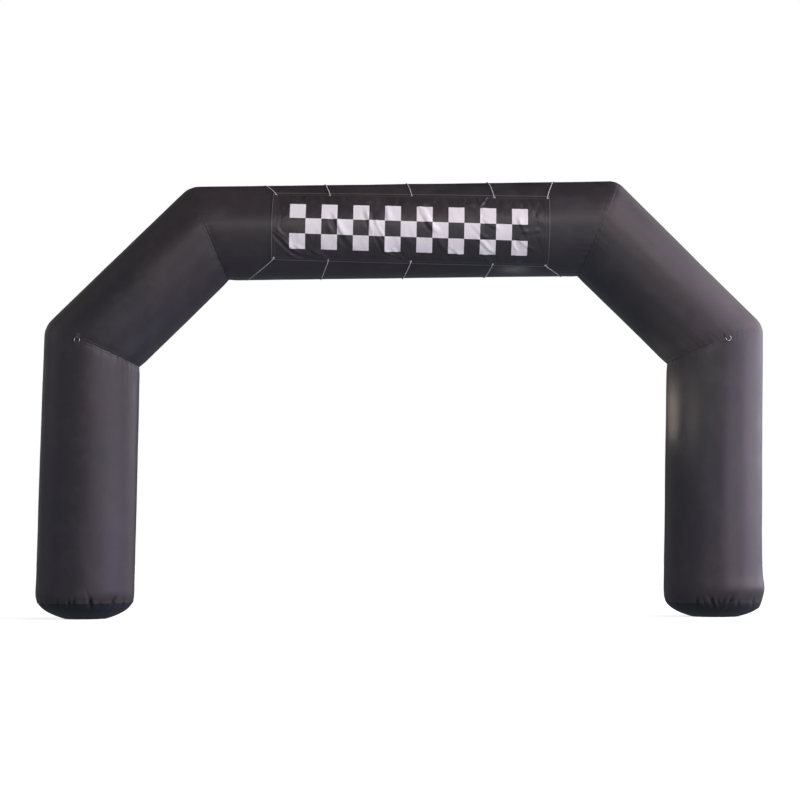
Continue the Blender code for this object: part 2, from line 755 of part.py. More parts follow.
def add_ring_tab(side, panels, collection, material, parent):
    """Folded webbing as its side view, extruded to the webbing's width."""
    name = "ring_tab_" + side
    curve = bpy.data.curves.new(name, "CURVE")
    curve.dimensions = "2D"
    curve.fill_mode = "BOTH"
    curve.extrude = TAB_WIDTH / 2
    hole_radius = TAB_SLACK + RING_WIRE / 2
    bar = bar_standoff()
    turns = [2 * pi * i / TAB_ARC_POINTS for i in range(TAB_ARC_POINTS)]
    hole = [(bar + hole_radius * cos(t), hole_radius * sin(t)) for t in turns]
    for outline in (tab_outline(), hole):
        spline = curve.splines.new("POLY")
        spline.points.add(len(outline) - 1)
        for point, (out, up) in zip(spline.points, outline):
            point.co = (out, up, 0.0, 1.0)
        spline.use_cyclic_u = True
    tab = add_object(name, curve, collection, material, parent)
    side_view = Matrix(((0, 0, 1, 0), (1, 0, 0, 0), (0, 1, 0, 0), (0, 0, 0, 1)))
    tab.matrix_local = ring_frame(panels, side) @ side_view
    return tab


def add_d_ring(side, panels, collection, material, parent):
    """Round wire bent to a D: a straight bar in the tab, two short sides and a half round."""
    name = "d_ring_" + side
    half = (RING_INNER_WIDTH + RING_WIRE) / 2
    outline = [(-half, 0.0), (half, 0.0)]
    for i in range(RING_ARC_POINTS):
        turn = -pi * i / (RING_ARC_POINTS - 1)
        outline.append((half * cos(turn), -RING_SIDE + half * sin(turn)))
    curve = bpy.data.curves.new(name, "CURVE")
    curve.dimensions = "3D"
    curve.bevel_depth = RING_WIRE / 2
    curve.bevel_resolution = 2
    spline = curve.splines.new("POLY")
    spline.points.add(len(outline) - 1)
    for point, (across, up) in zip(spline.points, outline):
        point.co = (across, bar_standoff(), up, 1.0)
    spline.use_cyclic_u = True
    ring = add_object(name, curve, collection, material, parent)
    ring.matrix_local = ring_frame(panels, side)
    return ring


# ---------------------------------------------------------------- the arch


def main():
    clear_scene()
    collection = make_collection("inflatable_arch")
    cutters = make_collection("cutters")
    materials = {name: make_material(name) for name in COLOURS}
    arch = bpy.data.objects.new("arch_origin", None)
    collection.objects.link(arch)

    panels = make_panels()
    middle_rows = {"leg_left": 2, "arm_left": 1, "crossbeam": 4, "arm_right": 2, "leg_right": 2}
    objects = []
    for name, panel in panels.items():
        fabric = materials["tube_fabric"]
        objects.append(add_panel(panel, middle_rows[name], collection, fabric, arch))
    for side in ("left", "right"):
        leg = panels["leg_" + side]
        objects.append(add_foot(side, leg, collection, materials["foot_fabric"], arch))

    banner = add_banner(panels, collection, cutters, materials["banner_fabric"], arch)
    objects.append(banner)
    upper_row, lower_row = eyelet_fractions()
    for level, row in (("upper", upper_row), ("lower", lower_row)):
        for number, (along, up) in enumerate(row, start=1):
            name = "eyelet_{}_{}".format(level, number)
            nickel = materials["nickel"]
            objects.append(add_eyelet(name, panels, along, up, collection, nickel, arch))
    for number, (upper, lower, sway) in enumerate(zip(upper_row, lower_row, CORD_SWAY), start=1):
        route = cord_route(panels, banner_place(*upper), banner_place(*lower), sway)
        name = "lacing_cord_{}".format(number)
        objects.append(add_cord(name, route, collection, materials["lacing_cord"], arch))

    for side in ("left", "right"):
        webbing = materials["black_webbing"]
        objects.append(add_ring_tab(side, panels, collection, webbing, arch))
        objects.append(add_d_ring(side, panels, collection, materials["nickel"], arch))


if __name__ == "__main__":
    main()
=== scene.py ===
"""Finish of an inflatable start arch: sewn tube skins, gathered feet, a laced banner and its cords.

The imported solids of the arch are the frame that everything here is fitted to. Run as a script it
dresses the arch once; its operators, listed in the 3D view's sidebar, dress it piece by piece.
Units are metres, +Z is up, the arch spans X and its front faces -Y.
"""

import json
from contextlib import contextmanager
from math import ceil, cos, fsum, hypot, pi, radians, sin
from random import Random

import bmesh
import bpy
import numpy as np
from bpy.props import FloatProperty, FloatVectorProperty, IntProperty, PointerProperty
from mathutils import Matrix, Vector, noise
from mathutils.bvhtree import BVHTree

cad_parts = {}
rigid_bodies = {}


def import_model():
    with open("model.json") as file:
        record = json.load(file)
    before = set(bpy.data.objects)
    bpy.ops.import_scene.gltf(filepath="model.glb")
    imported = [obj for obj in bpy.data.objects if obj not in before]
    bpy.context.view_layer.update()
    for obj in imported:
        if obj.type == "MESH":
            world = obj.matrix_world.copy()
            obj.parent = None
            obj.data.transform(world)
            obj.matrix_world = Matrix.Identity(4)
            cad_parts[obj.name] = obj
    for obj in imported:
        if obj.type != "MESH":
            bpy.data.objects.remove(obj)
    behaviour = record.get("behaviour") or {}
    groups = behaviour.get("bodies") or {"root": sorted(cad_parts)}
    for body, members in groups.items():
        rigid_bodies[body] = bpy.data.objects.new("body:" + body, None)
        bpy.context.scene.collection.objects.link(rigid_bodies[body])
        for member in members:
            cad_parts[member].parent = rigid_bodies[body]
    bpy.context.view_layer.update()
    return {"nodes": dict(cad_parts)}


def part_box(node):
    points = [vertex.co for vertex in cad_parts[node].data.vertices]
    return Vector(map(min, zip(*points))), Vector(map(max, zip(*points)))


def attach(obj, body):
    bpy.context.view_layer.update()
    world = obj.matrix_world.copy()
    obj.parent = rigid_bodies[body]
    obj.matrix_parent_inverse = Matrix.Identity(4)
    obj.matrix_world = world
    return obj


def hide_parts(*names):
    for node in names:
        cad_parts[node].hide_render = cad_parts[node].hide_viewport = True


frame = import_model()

bl_info = {
    "name": "Inflatable Arch Finish",
    "version": (1, 0, 0),
    "blender": (4, 5, 0),
    "location": "3D View > Sidebar > Arch",
    "description": "Skins, laced banner, cords, rings, finishes and stage of an inflatable arch",
    "category": "Object",
}

FRONT = Vector((0.0, -1.0, 0.0))

# ---------------------------------------------------------------- driving dimensions

TUBE_RADIUS = 0.403
FIT_GAP = 0.0003
FOOT_PLACE = {"left": Vector((-2.661, 0.0, 0.0)), "right": Vector((2.588, 0.0, 0.0))}
SHOULDER = {"left": Vector((-2.632, 0.0, 2.291)), "right": Vector((2.667, 0.0, 2.291))}
CROWN = {"left": Vector((-1.642, 0.0, 3.271)), "right": Vector((1.682, 0.0, 3.300))}
FOOT_SEAM_HEIGHT = {"left": 0.130, "right": 0.117}

# Distances from a seam at which a skin gets a ring of points; past the last one they are even.
SEAM_RINGS = (
    0.0, 0.0015, 0.003, 0.0045, 0.006, 0.0075, 0.009, 0.0105, 0.012, 0.0135, 0.015, 0.0165, 0.018,
    0.020, 0.0225, 0.026, 0.031, 0.037, 0.044, 0.052, 0.062, 0.074, 0.088, 0.105, 0.125, 0.15,
    0.18, 0.215, 0.255, 0.30,
)
RING_SPACING = 0.058
# How far from the axis a look-up ray starts, and how far inside a cut it stays.
PROBE_REACH = 0.65
PROBE_INSET = 0.0006

# Banner: corners as (place along X, angle above the front line of the crossbeam in degrees).
BANNER_TOP_LEFT = (-1.068, 42.5)
BANNER_TOP_RIGHT = (1.247, 30.3)
BANNER_BOTTOM_LEFT = (-1.090, -45.3)
BANNER_BOTTOM_RIGHT = (1.234, -62.0)
BANNER_STANDOFF = 0.006
# The lowest that a crease may come, so that the cloth stays off the crossbeam.
LOWEST_CREASE = -0.0042

# Creases of the banner: start and end on the flat cloth, measured from its lower left corner
# (along, up, along, up), then height and half width; a trough has a negative height.
BANNER_CREASES = (
    (0.033, 0.242, 0.333, 0.022, 0.0075, 0.013),
    (0.040, 0.205, 0.240, 0.040, -0.0060, 0.012),
    (0.060, 0.262, 0.250, 0.120, 0.0050, 0.010),
    (0.142, 0.152, 0.440, 0.026, 0.0060, 0.012),
    (0.076, 0.106, 0.192, 0.044, 0.0050, 0.012),
    (0.300, 0.140, 0.420, 0.060, 0.0040, 0.010),
    (0.520, 0.400, 0.665, 0.165, 0.0085, 0.018),
    (0.480, 0.360, 0.600, 0.180, -0.0050, 0.016),
    (0.790, 0.430, 0.940, 0.140, 0.0090, 0.018),
    (0.865, 0.372, 0.925, 0.250, 0.0070, 0.010),
    (0.840, 0.320, 0.905, 0.150, -0.0060, 0.012),
    (0.962, 0.500, 0.968, 0.400, 0.0050, 0.014),
    (0.930, 0.130, 1.035, 0.072, 0.0060, 0.011),
    (1.045, 0.135, 1.160, 0.036, -0.0070, 0.012),
    (1.080, 0.118, 1.180, 0.026, 0.0050, 0.010),
    (0.690, 0.592, 0.806, 0.545, 0.0045, 0.010),
    (1.190, 0.592, 1.275, 0.532, 0.0060, 0.011),
    (1.240, 0.500, 1.352, 0.310, 0.0090, 0.017),
    (1.290, 0.500, 1.400, 0.330, -0.0050, 0.014),
    (1.712, 0.592, 1.740, 0.536, 0.0060, 0.010),
    (1.740, 0.536, 1.782, 0.602, 0.0060, 0.010),
    (1.600, 0.590, 1.650, 0.540, 0.0040, 0.010),
    (1.764, 0.410, 1.860, 0.348, 0.0065, 0.010),
    (1.698, 0.330, 1.796, 0.248, 0.0065, 0.010),
    (1.716, 0.252, 1.850, 0.138, 0.0075, 0.012),
    (1.745, 0.440, 1.770, 0.300, -0.0050, 0.014),
    (2.058, 0.402, 2.106, 0.320, 0.0065, 0.011),
    (2.106, 0.320, 2.206, 0.332, 0.0060, 0.011),
    (2.084, 0.238, 2.165, 0.176, 0.0060, 0.012),
    (2.020, 0.300, 2.060, 0.180, -0.0045, 0.014),
    (1.510, 0.150, 1.584, 0.100, 0.0050, 0.011),
    (1.772, 0.104, 1.840, 0.024, 0.0055, 0.010),
    (1.400, 0.210, 1.460, 0.120, 0.0040, 0.012),
    (0.258, 0.642, 0.262, 0.580, 0.0030, 0.007),
)
CREASE_END = 0.035
# Seed of the creases' wander, the pull of the grid's lines towards the hems, and the fine crumples.
CREASE_SEED = 5
GRID_DRAW = 0.055
CRUMPLE_HEIGHT = 0.0030
CRUMPLE_MEAN = 0.45

# Chequered band on the banner: place on the flat cloth and number of squares.
BAND_START = 0.150
BAND_LENGTH = 1.980
BAND_FOOT = 0.115
BAND_HEIGHT = 0.396
BAND_COLUMNS = 15
BAND_ROWS = 3

# Gathers at the foot seam: bearing from the front towards +X in degrees, depth, half width in
# degrees, reach above the seam, reach below it, lean in degrees of bearing for each 0.1 m up, and
# how far the gather pulls the seam up.
FOOT_GATHERS = {
    "left": (
        (-49, 0.004, 2.6, 0.030, 0.026, 3, 0.004),
        (-23, 0.007, 1.5, 0.026, 0.020, -3, 0.010),
        (-14, 0.004, 1.3, 0.020, 0.018, 3, 0.004),
        (-8, 0.009, 1.4, 0.030, 0.024, -4, 0.016),
        (-2, 0.009, 1.3, 0.034, 0.026, 3, 0.020),
        (18, 0.013, 1.5, 0.050, 0.036, -5, 0.030),
        (30, 0.004, 1.8, 0.016, 0.022, 4, 0.004),
        (47, 0.013, 1.7, 0.044, 0.036, 8, 0.026),
        (63, 0.005, 1.8, 0.022, 0.022, -5, 0.006),
        (84, 0.008, 2.2, 0.028, 0.028, -4, 0.008),
        (103, 0.006, 2.0, 0.026, 0.024, 4, 0.006),
        (121, 0.009, 2.0, 0.040, 0.030, -6, 0.012),
        (141, 0.006, 1.8, 0.026, 0.026, 4, 0.006),
        (159, 0.011, 1.9, 0.038, 0.034, -5, 0.018),
        (176, 0.006, 1.7, 0.026, 0.026, 4, 0.006),
        (-169, 0.009, 1.9, 0.036, 0.030, 6, 0.012),
        (-152, 0.006, 1.8, 0.026, 0.024, 3, 0.006),
        (-135, 0.012, 2.0, 0.042, 0.034, -4, 0.020),
        (-113, 0.006, 1.8, 0.028, 0.026, 4, 0.006),
        (-91, 0.009, 2.2, 0.036, 0.030, -3, 0.010),
        (-69, 0.005, 2.0, 0.026, 0.024, 3, 0.004),
    ),
    "right": (
        (-81, 0.006, 2.4, 0.028, 0.026, 4, 0.006),
        (-57, 0.005, 2.0, 0.022, 0.022, -4, 0.004),
        (-30, 0.010, 1.5, 0.040, 0.036, 3, 0.016),
        (-21, 0.006, 1.4, 0.026, 0.030, -5, 0.006),
        (-11, 0.015, 1.5, 0.050, 0.044, -7, 0.026),
        (-4, 0.008, 1.3, 0.028, 0.036, -5, 0.010),
        (2, 0.010, 1.3, 0.036, 0.034, 6, 0.018),
        (11, 0.014, 1.7, 0.044, 0.038, 7, 0.024),
        (20, 0.006, 1.6, 0.024, 0.026, -6, 0.006),
        (44, 0.008, 2.2, 0.028, 0.026, -4, 0.008),
        (63, 0.006, 2.0, 0.028, 0.024, 4, 0.004),
        (82, 0.009, 2.0, 0.032, 0.028, -5, 0.010),
        (100, 0.006, 1.8, 0.026, 0.024, 4, 0.006),
        (118, 0.011, 2.0, 0.040, 0.034, 6, 0.018),
        (135, 0.006, 1.8, 0.028, 0.026, -4, 0.006),
        (152, 0.009, 1.9, 0.036, 0.030, 5, 0.012),
        (175, 0.006, 1.8, 0.028, 0.024, -3, 0.006),
        (-166, 0.012, 2.0, 0.042, 0.036, 4, 0.020),
        (-144, 0.006, 1.8, 0.028, 0.026, -5, 0.006),
        (-122, 0.009, 2.2, 0.036, 0.030, 3, 0.010),
        (-101, 0.006, 2.0, 0.026, 0.024, -3, 0.004),
    ),
}
SEAM_LIFT_REACH = 0.055
# How far a gather in a foot leans down as it stands out.
FOOT_TILT = 0.35

# D-rings and their webbing tabs on the front of the shoulder seams.
RING_OFFSET_X = {"left": -0.046, "right": 0.028}
RING_TILT = {"left": radians(-10), "right": radians(22)}
TAB_SINK = {"left": 0.0008, "right": 0.0012}
TAB_SLACK = 0.0004
TAB_CELLS = 10
TAB_INSET = 0.0004
TAB_HEAD_INSET = 0.0006
TAB_BOX_INSET = 0.005
TAB_BOX_FOOT = 0.017
RING_SEGMENTS = 96
RING_STRAIGHT = 0.012
RING_CORNER = 0.006
EYELET_HALF_HEIGHT = 0.0021
HOLE_SLACK = 0.0019

# Two rows of stitches beside a seam and the grooves that they lie in, the pitch of the stitches as
# a share of their length, how far they stand off, and how near its row a point has to lie.
STITCH_ROWS = (0.006, 0.015)
STITCH_GROOVES = (0.0055, 0.0145)
STITCH_PITCH = 1.28
STITCH_LIFT = 0.0002
ROW_TOLERANCE = 0.0006
THREAD_THICKNESS = 0.0010
TAB_STITCH_LENGTH, TAB_THREAD_THICKNESS = 0.0034, 0.0008
THREAD_COLOUR = (0.045, 0.042, 0.045)
SHADOW_COLOUR = (0.012, 0.012, 0.014, 1.0)

# Half the width of the step at the edge of a lap or a hem.
LAP_EDGE = 0.002
PUCKERS_ROUND = 58
BROAD_WAVE, SMALL_WAVE = 0.34, 0.13

# Points closer than this in a mesh are one point.
MERGE_DISTANCE = 0.00001

PANELS = ("leg_left", "arm_left", "crossbeam", "arm_right", "leg_right")
SIDES = ("left", "right")
CORD_COUNT = 5
# Faces that meet at less than this are shaded as one.
SKIN_SMOOTH = radians(50)
METAL_SMOOTH = radians(40)
STITCH_SMOOTH = radians(60)


# ---------------------------------------------------------------- settings


class ArchTubeSettings(bpy.types.PropertyGroup):
    """Sizes and colour of the tube skins and feet."""

    points_round: IntProperty(
        name="Points Round", description="Points round each tube", default=384, min=48
    )
    lap_width: FloatProperty(
        name="Lap Width", description="Width of the lapped seam allowance", default=0.018,
        unit="LENGTH",
    )
    lap_height: FloatProperty(
        name="Lap Height", description="How far the lapped cloth stands up", default=0.0011,
        unit="LENGTH",
    )
    pucker_depth: FloatProperty(
        name="Pucker Depth", description="Depth of the puckers along a seam", default=0.0026,
        unit="LENGTH",
    )
    unevenness: FloatProperty(
        name="Unevenness", description="Height of the broad waves of the taut cloth",
        default=0.0018, unit="LENGTH",
    )
    stitch_length: FloatProperty(
        name="Stitch Length", description="Length of one stitch", default=0.0050, unit="LENGTH"
    )
    colour: FloatVectorProperty(
        name="Fabric", description="Colour of the tube fabric", subtype="COLOR",
        default=(0.034, 0.0317, 0.0337), min=0.0, max=1.0,
    )
    # Darker and bluer than the tube fabric: painted shade of the feet's down-turned underside.
    foot_shaded_colour: FloatVectorProperty(
        name="Foot Fabric", description="Colour of the foot panels", subtype="COLOR",
        default=(0.0035, 0.0085, 0.015), min=0.0, max=1.0,
    )


class ArchBannerSettings(bpy.types.PropertyGroup):
    """Sizes and colours of the laced banner."""

    cells_along: IntProperty(
        name="Cells Along", description="Grid cells along the banner", default=300, min=40
    )
    cells_up: IntProperty(
        name="Cells Up", description="Grid cells up the banner", default=84, min=12
    )
    thickness: FloatProperty(
        name="Thickness", description="Thickness of the cloth", default=0.0010, unit="LENGTH"
    )
    hem_width: FloatProperty(
        name="Hem Width", description="Width of the turned hem", default=0.030, unit="LENGTH"
    )
    hem_height: FloatProperty(
        name="Hem Height", description="How far the turned hem stands up", default=0.0010,
        unit="LENGTH",
    )
    colour: FloatVectorProperty(
        name="Fabric", description="Colour of the banner", subtype="COLOR",
        default=(0.034, 0.0317, 0.0337), min=0.0, max=1.0,
    )
    print_colour: FloatVectorProperty(
        name="Print", description="Colour of the chequered band", subtype="COLOR",
        default=(0.92, 0.91, 0.92), min=0.0, max=1.0,
    )


class ArchFittingSettings(bpy.types.PropertyGroup):
    """Sizes and colours of cords, eyelets, tabs and rings."""

    cord_diameter: FloatProperty(
        name="Cord Diameter", description="Diameter of the lacing cord", default=0.0060,
        unit="LENGTH",
    )
    cord_colour: FloatVectorProperty(
        name="Cord", description="Colour of the lacing cord", subtype="COLOR",
        default=(0.88, 0.87, 0.85), min=0.0, max=1.0,
    )
    eyelet_hole_radius: FloatProperty(
        name="Eyelet Hole", description="Radius of the eyelet's hole", default=0.0052,
        unit="LENGTH",
    )
    eyelet_rim_radius: FloatProperty(
        name="Eyelet Rim", description="Outer radius of the eyelet's rim", default=0.0110,
        unit="LENGTH",
    )
    ring_wire: FloatProperty(
        name="Ring Wire", description="Diameter of the D-ring's wire", default=0.0050,
        unit="LENGTH",
    )
    ring_width: FloatProperty(
        name="Ring Width", description="Inner width of the D-ring", default=0.038, unit="LENGTH"
    )
    tab_width: FloatProperty(
        name="Tab Width", description="Width of the webbing", default=0.034, unit="LENGTH"
    )
    tab_height: FloatProperty(
        name="Tab Height", description="Height of the folded tab", default=0.042, unit="LENGTH"
    )
    tab_thickness: FloatProperty(
        name="Webbing Thickness", description="Thickness of one layer", default=0.002,
        unit="LENGTH",
    )
    metal_colour: FloatVectorProperty(
        name="Metal", description="Colour of rings and eyelets", subtype="COLOR",
        default=(0.72, 0.71, 0.70), min=0.0, max=1.0,
    )


class ArchStageSettings(bpy.types.PropertyGroup):
    """Camera, lights and ground."""

    camera_place: FloatVectorProperty(
        name="Camera", description="Place of the camera", subtype="TRANSLATION",
        default=(-0.014, -13.0, 0.463),
    )
    camera_pitch: FloatProperty(
        name="Camera Pitch", description="How far the camera looks up", subtype="ANGLE",
        default=radians(6.0),
    )
    camera_roll: FloatProperty(
        name="Camera Roll", description="Roll of the camera", subtype="ANGLE",
        default=radians(-0.222),
    )
    lens: FloatProperty(
        name="Lens", description="Focal length in millimetres", default=69.3, min=10.0
    )
    panel_strength: FloatProperty(
        name="Soft Panels", description="Strength of the far light panels", default=1.0, min=0.0
    )
    lamp_strength: FloatProperty(
        name="Lamps", description="Strength of the near lamps", default=1.0, min=0.0
    )


SETTINGS = {
    "arch_tubes": ArchTubeSettings,
    "arch_banner": ArchBannerSettings,
    "arch_fittings": ArchFittingSettings,
    "arch_stage": ArchStageSettings,
}


# ---------------------------------------------------------------- modelling helpers


def deselect():
    bpy.ops.object.select_all(action="DESELECT")


def pick(obj):
    """Makes obj the only selected and the active object."""
    deselect()
    obj.select_set(True)
    bpy.context.view_layer.objects.active = obj


def added(operator, **values):
    """Runs an operator that adds an object, and gives that object."""
    deselect()
    operator(**values)
    return bpy.context.object


@contextmanager
def editing(obj):
    """Edit mode on one object; gives its editable mesh and puts the changes back at the end."""
    pick(obj)
    bpy.ops.object.mode_set(mode="EDIT")
    bpy.ops.mesh.select_mode(type="VERT")
    bpy.ops.mesh.select_all(action="DESELECT")
    yield bmesh.from_edit_mesh(obj.data)
    bmesh.update_edit_mesh(obj.data)
    bpy.ops.object.mode_set(mode="OBJECT")


def close_up(distance=None):
    """Merges doubled points, if told how close they are, and turns all faces outwards."""
    bpy.ops.mesh.select_all(action="SELECT")
    if distance is not None:
        bpy.ops.mesh.remove_doubles(threshold=distance)
    bpy.ops.mesh.normals_make_consistent(inside=False)


def apply_modifiers(obj):
    pick(obj)
    for modifier in list(obj.modifiers):
        bpy.ops.object.modifier_apply(modifier=modifier.name)


def freeze(obj):
    """Puts the object's place, turn and scale into its mesh."""
    pick(obj)
    bpy.ops.object.transform_apply(location=True, rotation=True, scale=True)


def finish_piece(obj, name, material, nodes=(), smooth=SKIN_SMOOTH):
    """Names a finished piece, gives it its material and joins it to the frame."""
    freeze(obj)
    bpy.ops.object.shade_smooth_by_angle(angle=smooth)
    obj.name = name
    obj.data.name = name
    obj.data.materials.clear()
    obj.data.materials.append(material)
    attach(obj, "root")
    if nodes:
        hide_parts(*nodes)
    return obj


def mesh_points(obj):
    co = np.empty(len(obj.data.vertices) * 3)
    obj.data.vertices.foreach_get("co", co)
    return co.reshape(-1, 3)


def set_mesh_points(obj, points):
    obj.data.vertices.foreach_set("co", np.asarray(points, dtype=float).ravel())
    obj.data.update()


def set_attribute(obj, name, values):
    """A number for each point, which the materials read."""
    layer = obj.data.attributes.new(name, "FLOAT", "POINT")
    layer.data.foreach_set("value", np.asarray(values, dtype=float))


def whole_numbers(items, name):
    values = np.empty(len(items), dtype=int)
    items.foreach_get(name, values)
    return values


def cloth_layer(mesh):
    """The UV map that holds places on the cloth in metres."""
    layer = mesh.uv_layers[0] if mesh.uv_layers else mesh.uv_layers.new()
    layer.name = "cloth"
    return layer


def cloth_uv(obj, around, along, radius=TUBE_RADIUS):
    """UV map in metres on the cloth: around the tube and along it, without a jump in a face."""
    mesh = obj.data
    loops = whole_numbers(mesh.loops, "vertex_index")
    starts = whole_numbers(mesh.polygons, "loop_start")
    first = np.repeat(loops[starts], whole_numbers(mesh.polygons, "loop_total"))
    away = (around[loops] - around[first] + pi) % (2 * pi) - pi
    uv = np.stack(((around[first] + away) * radius, along[loops]), axis=1)
    cloth_layer(mesh).data.foreach_set("uv", uv.ravel())


def gauss(distance, width):
    return np.exp(-((distance / width) ** 2))


def rise(value, low, high):
    """Smooth step from 0 at low to 1 at high."""
    t = np.clip((value - low) / (high - low), 0.0, 1.0)
    return t * t * (3 - 2 * t)


def travel(line):
    """Length of each step of a line, and the way to each of its points."""
    steps = np.linalg.norm(np.diff(line, axis=0), axis=1)
    return steps, np.concatenate(([0.0], np.cumsum(steps)))


def arc(x, z, radius, start, sweep, steps):
    """Points of an arc round (x, z), from an angle on through a sweep."""
    turns = [start + sweep * i / steps for i in range(steps + 1)]
    return [(x + radius * cos(turn), z + radius * sin(turn)) for turn in turns]


def axes_at(place, x, y, z):
    """Matrix with the given axes at a place."""
    return Matrix.Translation(place) @ Matrix((x, y, z)).transposed().to_4x4()


def waves(points, size, seed):
    """Smooth unevenness between -1 and 1, of the given size, at each point."""
    shift = Vector((seed * 7.13, seed * 3.71, seed * 5.37))
    return np.array([noise.noise(Vector(p) / size + shift) for p in points])


# ---------------------------------------------------------------- the line of the tubes


class TubePanel:
    """Axis and cutting planes of one straight run of tube."""

    def __init__(self, name, start, end, start_cut, end_cut):
        self.name, self.start, self.cuts = name, start, (start_cut, end_cut)
        self.along = (end - start).normalized()
        self.outward = Vector((-self.along.z, 0.0, self.along.x))

    def directions(self, angles):
        """Unit vectors off the axis: 0 is the arch's outer side, 90 degrees its front."""
        out, front = np.array(self.outward), np.array(FRONT)
        return np.outer(np.cos(angles), out) + np.outer(np.sin(angles), front)

    def cut_distances(self, directions, radii):
        """Where each generator crosses the start cut and the end cut, along the axis."""
        rims = np.array(self.start) + directions * radii[:, None]
        found = []
        for place, normal in self.cuts:
            away = (np.array(place) - rims) @ np.array(normal)
            found.append(away / self.along.dot(normal))
        return found


def tube_panels():
    """The five panels in order from the left foot to the right foot."""
    places = [
        FOOT_PLACE["left"], SHOULDER["left"], CROWN["left"],
        CROWN["right"], SHOULDER["right"], FOOT_PLACE["right"],
    ]
    runs = [(b - a).normalized() for a, b in zip(places, places[1:])]
    up = Vector((0.0, 0.0, 1.0))
    cuts = [(up * FOOT_SEAM_HEIGHT["left"], up)]
    for place, before, after in zip(places[1:], runs, runs[1:]):
        cuts.append((place, (before + after).normalized()))
    cuts.append((up * FOOT_SEAM_HEIGHT["right"], -up))
    return {
        name: TubePanel(name, places[i], places[i + 1], cuts[i], cuts[i + 1])
        for i, name in enumerate(PANELS)
    }


def rounded_copy(node):
    """A merged and rounded copy of a solid of the frame, to measure its surface on."""
    copy = frame["nodes"][node].copy()
    copy.data = copy.data.copy()
    copy.hide_render = True
    bpy.context.scene.collection.objects.link(copy)
    with editing(copy) as bm:
        bpy.ops.mesh.select_all(action="SELECT")
        bpy.ops.mesh.remove_doubles(threshold=MERGE_DISTANCE)
        bpy.ops.mesh.tris_convert_to_quads(face_threshold=radians(60), shape_threshold=radians(70))
        bpy.ops.mesh.select_all(action="DESELECT")
        creases = bm.edges.layers.float.new("crease_edge")
        for edge in bm.edges:
            if edge.is_manifold and edge.calc_face_angle() > radians(35):
                edge[creases] = 1.0
    rounding = copy.modifiers.new("rounded", "SUBSURF")
    rounding.levels = rounding.render_levels = 2
    apply_modifiers(copy)
    return copy


def surface_tree(node):
    """Search tree of a solid's rounded surface."""
    copy = rounded_copy(node)
    tree = BVHTree.FromObject(copy, bpy.context.evaluated_depsgraph_get())
    bpy.data.objects.remove(copy, do_unlink=True)
    return tree


def probe_radii(tree, inner, outer):
    """Distance of the surface from the axis, by rays from the outer points to the inner ones;
    the outer points lie at PROBE_REACH from the axis and the inner ones on it."""
    radii = np.full(len(inner), TUBE_RADIUS)
    for i, (near, far) in enumerate(zip(inner, outer)):
        ray = Vector(near) - Vector(far)
        hit = tree.ray_cast(Vector(far), ray.normalized(), ray.length)
        if hit[0] is not None:
            radii[i] = PROBE_REACH * (1 - hit[3] / ray.length)
    return radii


def rolled_tube(points_round, cuts):
    """A closed cylinder whose side is cut into rings: the blank of every skin."""
    blank = added(
        bpy.ops.mesh.primitive_cylinder_add,
        vertices=points_round, radius=TUBE_RADIUS, depth=1.0, end_fill_type="NGON",
    )
    with editing(blank) as bm:
        bpy.ops.mesh.select_mode(type="EDGE")
        for edge in bm.edges:
            edge.select_set(abs(edge.verts[0].co.z - edge.verts[1].co.z) > 0.5)
        bpy.ops.mesh.subdivide(number_cuts=cuts)
    return blank


def blank_places(blank, rings):
    """Angle round the blank and ring number of each of its points."""
    points = mesh_points(blank)
    angles = np.arctan2(points[:, 1], points[:, 0])
    ring = np.rint((points[:, 2] + 0.5) * (rings - 1)).astype(int)
    return angles, ring


def ring_table(length):
    """Rings of a skin as (share of the even middle part, distance from the start, from the end);
    a distance that doesn't count is negative."""
    count = max(2, ceil((length - 2 * SEAM_RINGS[-1]) / RING_SPACING) - 1)
    table = [(0.0, d, -1.0) for d in SEAM_RINGS]
    table += [(i / (count + 1), -1.0, -1.0) for i in range(1, count + 1)]
    table += [(1.0, -1.0, d) for d in reversed(SEAM_RINGS)]
    return np.array(table)


def ring_distances(panel, directions, radii, rows):
    """Distances along the axis of points on their rings, and of the two cuts there."""
    low, high = panel.cut_distances(directions, radii)
    low = low + FIT_GAP / 4
    high = high - FIT_GAP / 4
    share, from_start, from_end = rows.T
    first, last = low + SEAM_RINGS[-1], high - SEAM_RINGS[-1]
    here = np.where(from_start >= 0, low + from_start, first + share * (last - first))
    here = np.where(from_end >= 0, high - from_end, here)
    return here, low, high


# ---------------------------------------------------------------- tube skins


def seam_puckers(seed, count, depth):
    """Random puckers along a seam: angle, depth, half width and reach."""
    draw = Random(seed)
    puckers = []
    for i in range(count):
        angle = 2 * pi * (i + draw.uniform(-0.35, 0.35)) / count
        inner = ((1 - cos(angle)) / 2) ** 2
        strength = depth * (0.25 + 1.5 * inner) * draw.uniform(0.35, 1.0)
        width = draw.uniform(0.010, 0.024)
        reach = draw.uniform(0.030, 0.070) * (1 + inner)
        puckers.append((angle, strength, width, reach))
    return puckers


def pucker_depths(puckers, angles, away):
    """Depth of a seam's puckers at points at a distance from it."""
    total = np.zeros(len(angles))
    near = away < 0.35
    for angle, depth, width, reach in puckers:
        aside = ((angles[near] - angle + pi) % (2 * pi) - pi) * TUBE_RADIUS
        fade = np.exp(-away[near] / reach)
        total[near] += depth * gauss(aside, width) * fade
        total[near] -= depth * 0.35 * gauss(np.abs(aside) - 2 * width, width) * fade
    return total


